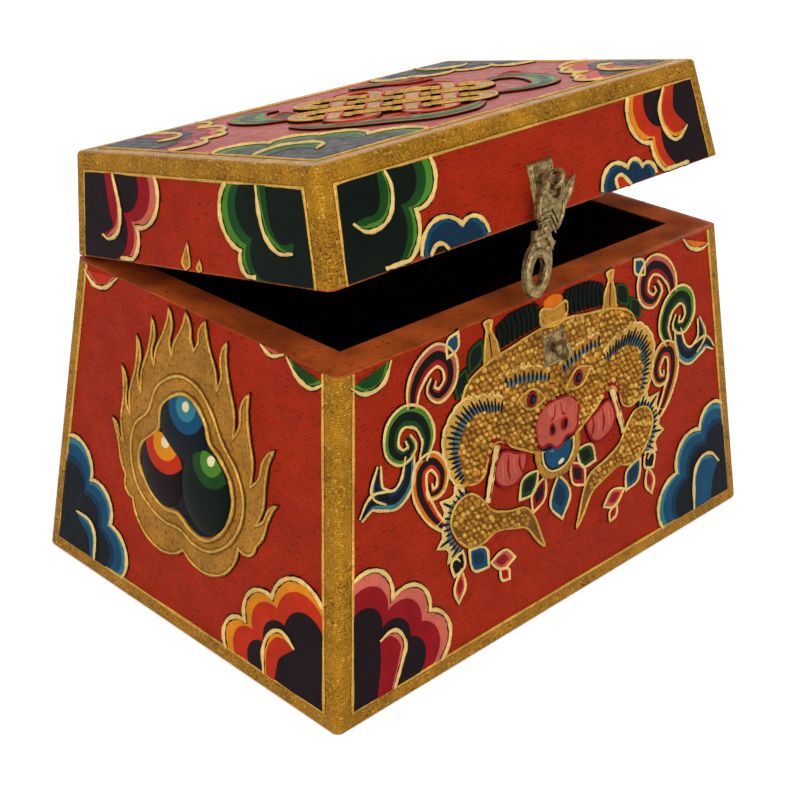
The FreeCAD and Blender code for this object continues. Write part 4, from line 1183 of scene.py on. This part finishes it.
mask = Relief(BASE["front"])
mask.edged(FACE_EDGE, "bronze", "straw", MASK_FIELD)
scales(mask, FACE_EDGE, face_clear)
for flip in (1, -1):
    mask.flip = flip
    fringe(mask, CHEEK_IN, CHEEK_OUT, 26, 0.62)
    fringe(mask, BROW, BROW_TOP, 10, 0.55, "bead")
    draw_eye(mask)
    draw_hand(mask)
    for form in PETALS:
        petal(mask, *form)
    draw_paw(mask)
    draw_crest(mask)
mask.flip = 1
mask.edged(flow(CUP, True), "bead", "straw", 0.6)
mask.dome(PEACH, 2.2, 0.45, "orange", 0.55, stretch=2.0, around=24)
draw_snout(mask)
draw_mouth(mask)
petal(mask, *CHIN_PETAL)
mask.build("front_mask", "gilt_paste", ["front_mask_relief"])

SCARVES = (
    ([(61.2, 89.5), (59.9, 95.2), (55.8, 100.1), (49.9, 102), (45.5, 98.4), (45.5, 92.9), (50, 89.9),
      (53.4, 92.5), (52, 95.4)], (3.4, 6, 6.6, 6, 4.6, 2.4), ("rose", "ink", "crimson")),
    ([(58.5, 72.7), (55.8, 78.9), (58.3, 85.3), (64.2, 88.1), (68.9, 85.9), (70.1, 80.1), (66.5, 76.4),
      (62.4, 78), (63.6, 81.4)], (3, 5.6, 6.4, 6, 4.6, 2.4), ("leaf", "bottle", "green")),
    ([(63.5, 76), (65.3, 68.6), (69.8, 65), (74.7, 66), (79.4, 67), (84, 63.6)], (3.4, 5.4, 6, 5, 1.2),
     ("sky", "navy", "indigo")),
    ([(73, 66.4), (77, 70), (75.4, 77)], (4, 4.4, 1.2), ("sky", "navy", "indigo")),
    ([(52.6, 49), (57.1, 55), (60.5, 62.7), (59.8, 69.6), (54.9, 71.2), (51.2, 66.4), (52.5, 61.6),
      (56.4, 61.2), (56.6, 64.4)], (3, 5, 5.8, 5.4, 4.4, 2.2), ("orange", "plum", "scarlet")),
)
SCARF_LEAF = ((46, 100), (41, 106.2), 5)
scarves = Relief(BASE["front"])
for flip in (1, -1):
    scarves.flip = flip
    for scarf in SCARVES:
        ribbon(scarves, *scarf)
    scarves.edged(leaf(*SCARF_LEAF), "blue", "cream", 0.5)
scarves.build("front_scarves", "base_paint")

# Casting on the hasp, v up it from the bar it hangs on, and on its plates
HASP_FRONT = 0.9
SLOT_CENTRE = -28.4
SLOT_RIM = (3.75, 5.9)
RING_CENTRE = -3.5
RING_RIM = 3.5
CHEVRON = [(-3.7, -2.7), (-1.9, -1.2), (0, 0), (1.9, -1.2), (3.7, -2.7)]
CHEVRON_DROPS = (8.4, 10.6, 12.6, 17.2)
FLANK = [(4.1, -5.4), (4.9, -8.2), (4.5, -11.2), (3.7, -13.4)]
HORN_RIB = [(4.7, -6.4), (5.9, -2.6), (6.4, 2.6)]
WAIST_BEAD = (2.1, -20.9, 1.3)
BEADS = ((0, -15.7, 1.5), (0, -22.4, 1.1), (0, -35, 1.2), (-3.9, -6, 1.1))
PLATE_FRONT = 1.0
PLATE_HALF = (4.4, 4.6)
EYE_RISE = 10.4
STAPLE_DROP = 17.6


def hasp_face():
    """The hasp's front as it leans at rest."""
    out = Vector(JOINTS["hasp_sway"]["axis"])
    right = -Vector(JOINTS["hasp_swing"]["axis"])
    place = Vector(JOINTS["hasp_swing"]["pos_m"]) / MM + out * HASP_FRONT
    return Face("hasp", place, right, out.cross(right), Matrix.Identity(4))


def round_path(centre, wide, high, start=0, end=360, parts=32):
    angles = [math.radians(start + (end - start) * k / parts) for k in range(parts + 1)]
    return [Vector((wide * math.cos(a), centre + high * math.sin(a))) for a in angles]


def rib(cast, points, stroke):
    cast.line(flow(points, step=0.6), "cast", stroke)


def bead(cast, u, v, radius):
    cast.dome((u, v), radius, 0.7, "cast", around=16, rings=4)


cast = Relief(hasp_face())
cast.line(round_path(SLOT_CENTRE, *SLOT_RIM)[:-1], "cast", "slot_rim", closed=True)
cast.line(round_path(RING_CENTRE, RING_RIM, RING_RIM, -205, 25), "cast", "ring_rib")
for drop in CHEVRON_DROPS:
    rib(cast, [(u, v - drop) for u, v in CHEVRON], "chevron")
for side in (-1, 1):
    rib(cast, [(side * u, v) for u, v in FLANK], "flank")
    bead(cast, side * WAIST_BEAD[0], *WAIST_BEAD[1:])
rib(cast, HORN_RIB, "horn_rib")
for spot in BEADS:
    bead(cast, *spot)
cast.build("hasp_casting", "cast_brass")


def plate_casting(name, face, middle):
    """A raised rim and four rivets on a plate."""
    front = face.origin + face.out * PLATE_FRONT
    cast = Relief(Face(face.body, front, face.right, face.up, face.turn))
    corners = [Vector((u * PLATE_HALF[0], middle + v * PLATE_HALF[1])) for u, v in SQUARE]
    cast.line(straight(corners + corners[:1], 0.8)[:-1], "cast", "plate_rim", closed=True)
    for corner in corners:
        cast.dome(Vector((0, middle)).lerp(corner, 0.72), 0.55, 0.3, "cast", around=12)
    cast.build(name, "cast_brass")


plate_casting("hasp_plate_casting", LID["front"], EYE_RISE)
plate_casting("staple_plate_casting", BASE["front"], WALL_RISE - STAPLE_DROP)

# Stage, in metres
FLOOR_SIZE = 6.0
FLOOR_FADE = (0.4, 1.8)
FLOOR_GLOW = (0.45, 0.8)
mesh = bpy.data.meshes.new("floor")
mesh.from_pydata([(x * FLOOR_SIZE, y * FLOOR_SIZE, 0) for x, y in SQUARE], [], [(0, 1, 2, 3)])
floor = bpy.data.objects.new("floor", mesh)
bpy.context.collection.objects.link(floor)
w = material("pale_floor")
away = w.node("VectorMath", {0: w.place}, operation="LENGTH").outputs["Value"]
w.fill(w.tree.nodes["Principled BSDF"], {
    "Base Color": srgb(238, 238, 238), "Roughness": 0.9, "Specular IOR Level": 0.0,
    "Emission Color": WHITE,
    "Emission Strength": w.math("MULTIPLY", w.seen(), w.step(away, *FLOOR_FADE, *FLOOR_GLOW))})
mesh.materials.append(w.owner)

# Camera: lengths in millimetres, the picture in pixels
AZIMUTH = math.radians(-45.3287)
ELEVATION = math.radians(27.1288)
ROLL = math.radians(0.8248)
DISTANCE = 531.1
AIM = Vector((0, 0, 42.2))
FOCAL_PIXELS = 1541
PICTURE = 800
CENTRE = (405.26, 414.09)
SENSOR = 36.0
camera_data = bpy.data.cameras.new("camera")
camera_data.sensor_width = SENSOR
camera_data.lens = FOCAL_PIXELS * SENSOR / PICTURE
camera_data.shift_x = (PICTURE / 2 - CENTRE[0]) / PICTURE
camera_data.shift_y = (CENTRE[1] - PICTURE / 2) / PICTURE
camera = bpy.data.objects.new("camera", camera_data)
bpy.context.collection.objects.link(camera)
camera.matrix_world = (
    Matrix.Translation(AIM * MM) @ Matrix.Rotation(AZIMUTH, 4, "Z")
    @ Matrix.Rotation(math.pi / 2 - ELEVATION, 4, "X") @ Matrix.Rotation(ROLL, 4, "Z")
    @ Matrix.Translation((0, 0, DISTANCE * MM)))
scene = bpy.context.scene
scene.camera = camera
scene.view_settings.view_transform = "Standard"

# Lights: place and target in metres, size in metres and power in watts
LIGHTS = {
    "key": ((-0.5, -1.4, 1.5), (0, 0, 0.06), 1.2, 22),
    "side": ((-1.5, -0.3, 0.9), (0, 0, 0.06), 1.0, 9),
    "far": ((1.1, 1.2, 0.9), (0, 0, 0.1), 1.2, 9),
}
SURROUND = 0.4
for name, (place, target, size, watts) in LIGHTS.items():
    data = bpy.data.lights.new(name, "AREA")
    data.size = size
    data.energy = watts
    light = bpy.data.objects.new(name, data)
    bpy.context.collection.objects.link(light)
    light.location = place
    light.rotation_euler = (Vector(target) - Vector(place)).to_track_quat("-Z", "Y").to_euler()

# White behind the chest, a dimmer surround to light it
scene.world = bpy.data.worlds.new("studio")
w = Wiring(scene.world)
plain = w.fill(w.tree.nodes["Background"], {"Color": WHITE, "Strength": SURROUND})
bright = w.node("Background", {"Color": WHITE, "Strength": 1.0})
blend = w.node("MixShader", {0: w.seen(), 1: plain.outputs[0], 2: bright.outputs[0]})
w.fill(w.tree.nodes["World Output"], {"Surface": blend.outputs[0]})

for node in frame["nodes"].values():
    for spot in node.material_slots:
        key = spot.material.name.split(".")[0] if spot.material else ""
        if key in SLOTS:
            spot.material = SLOTS[key]
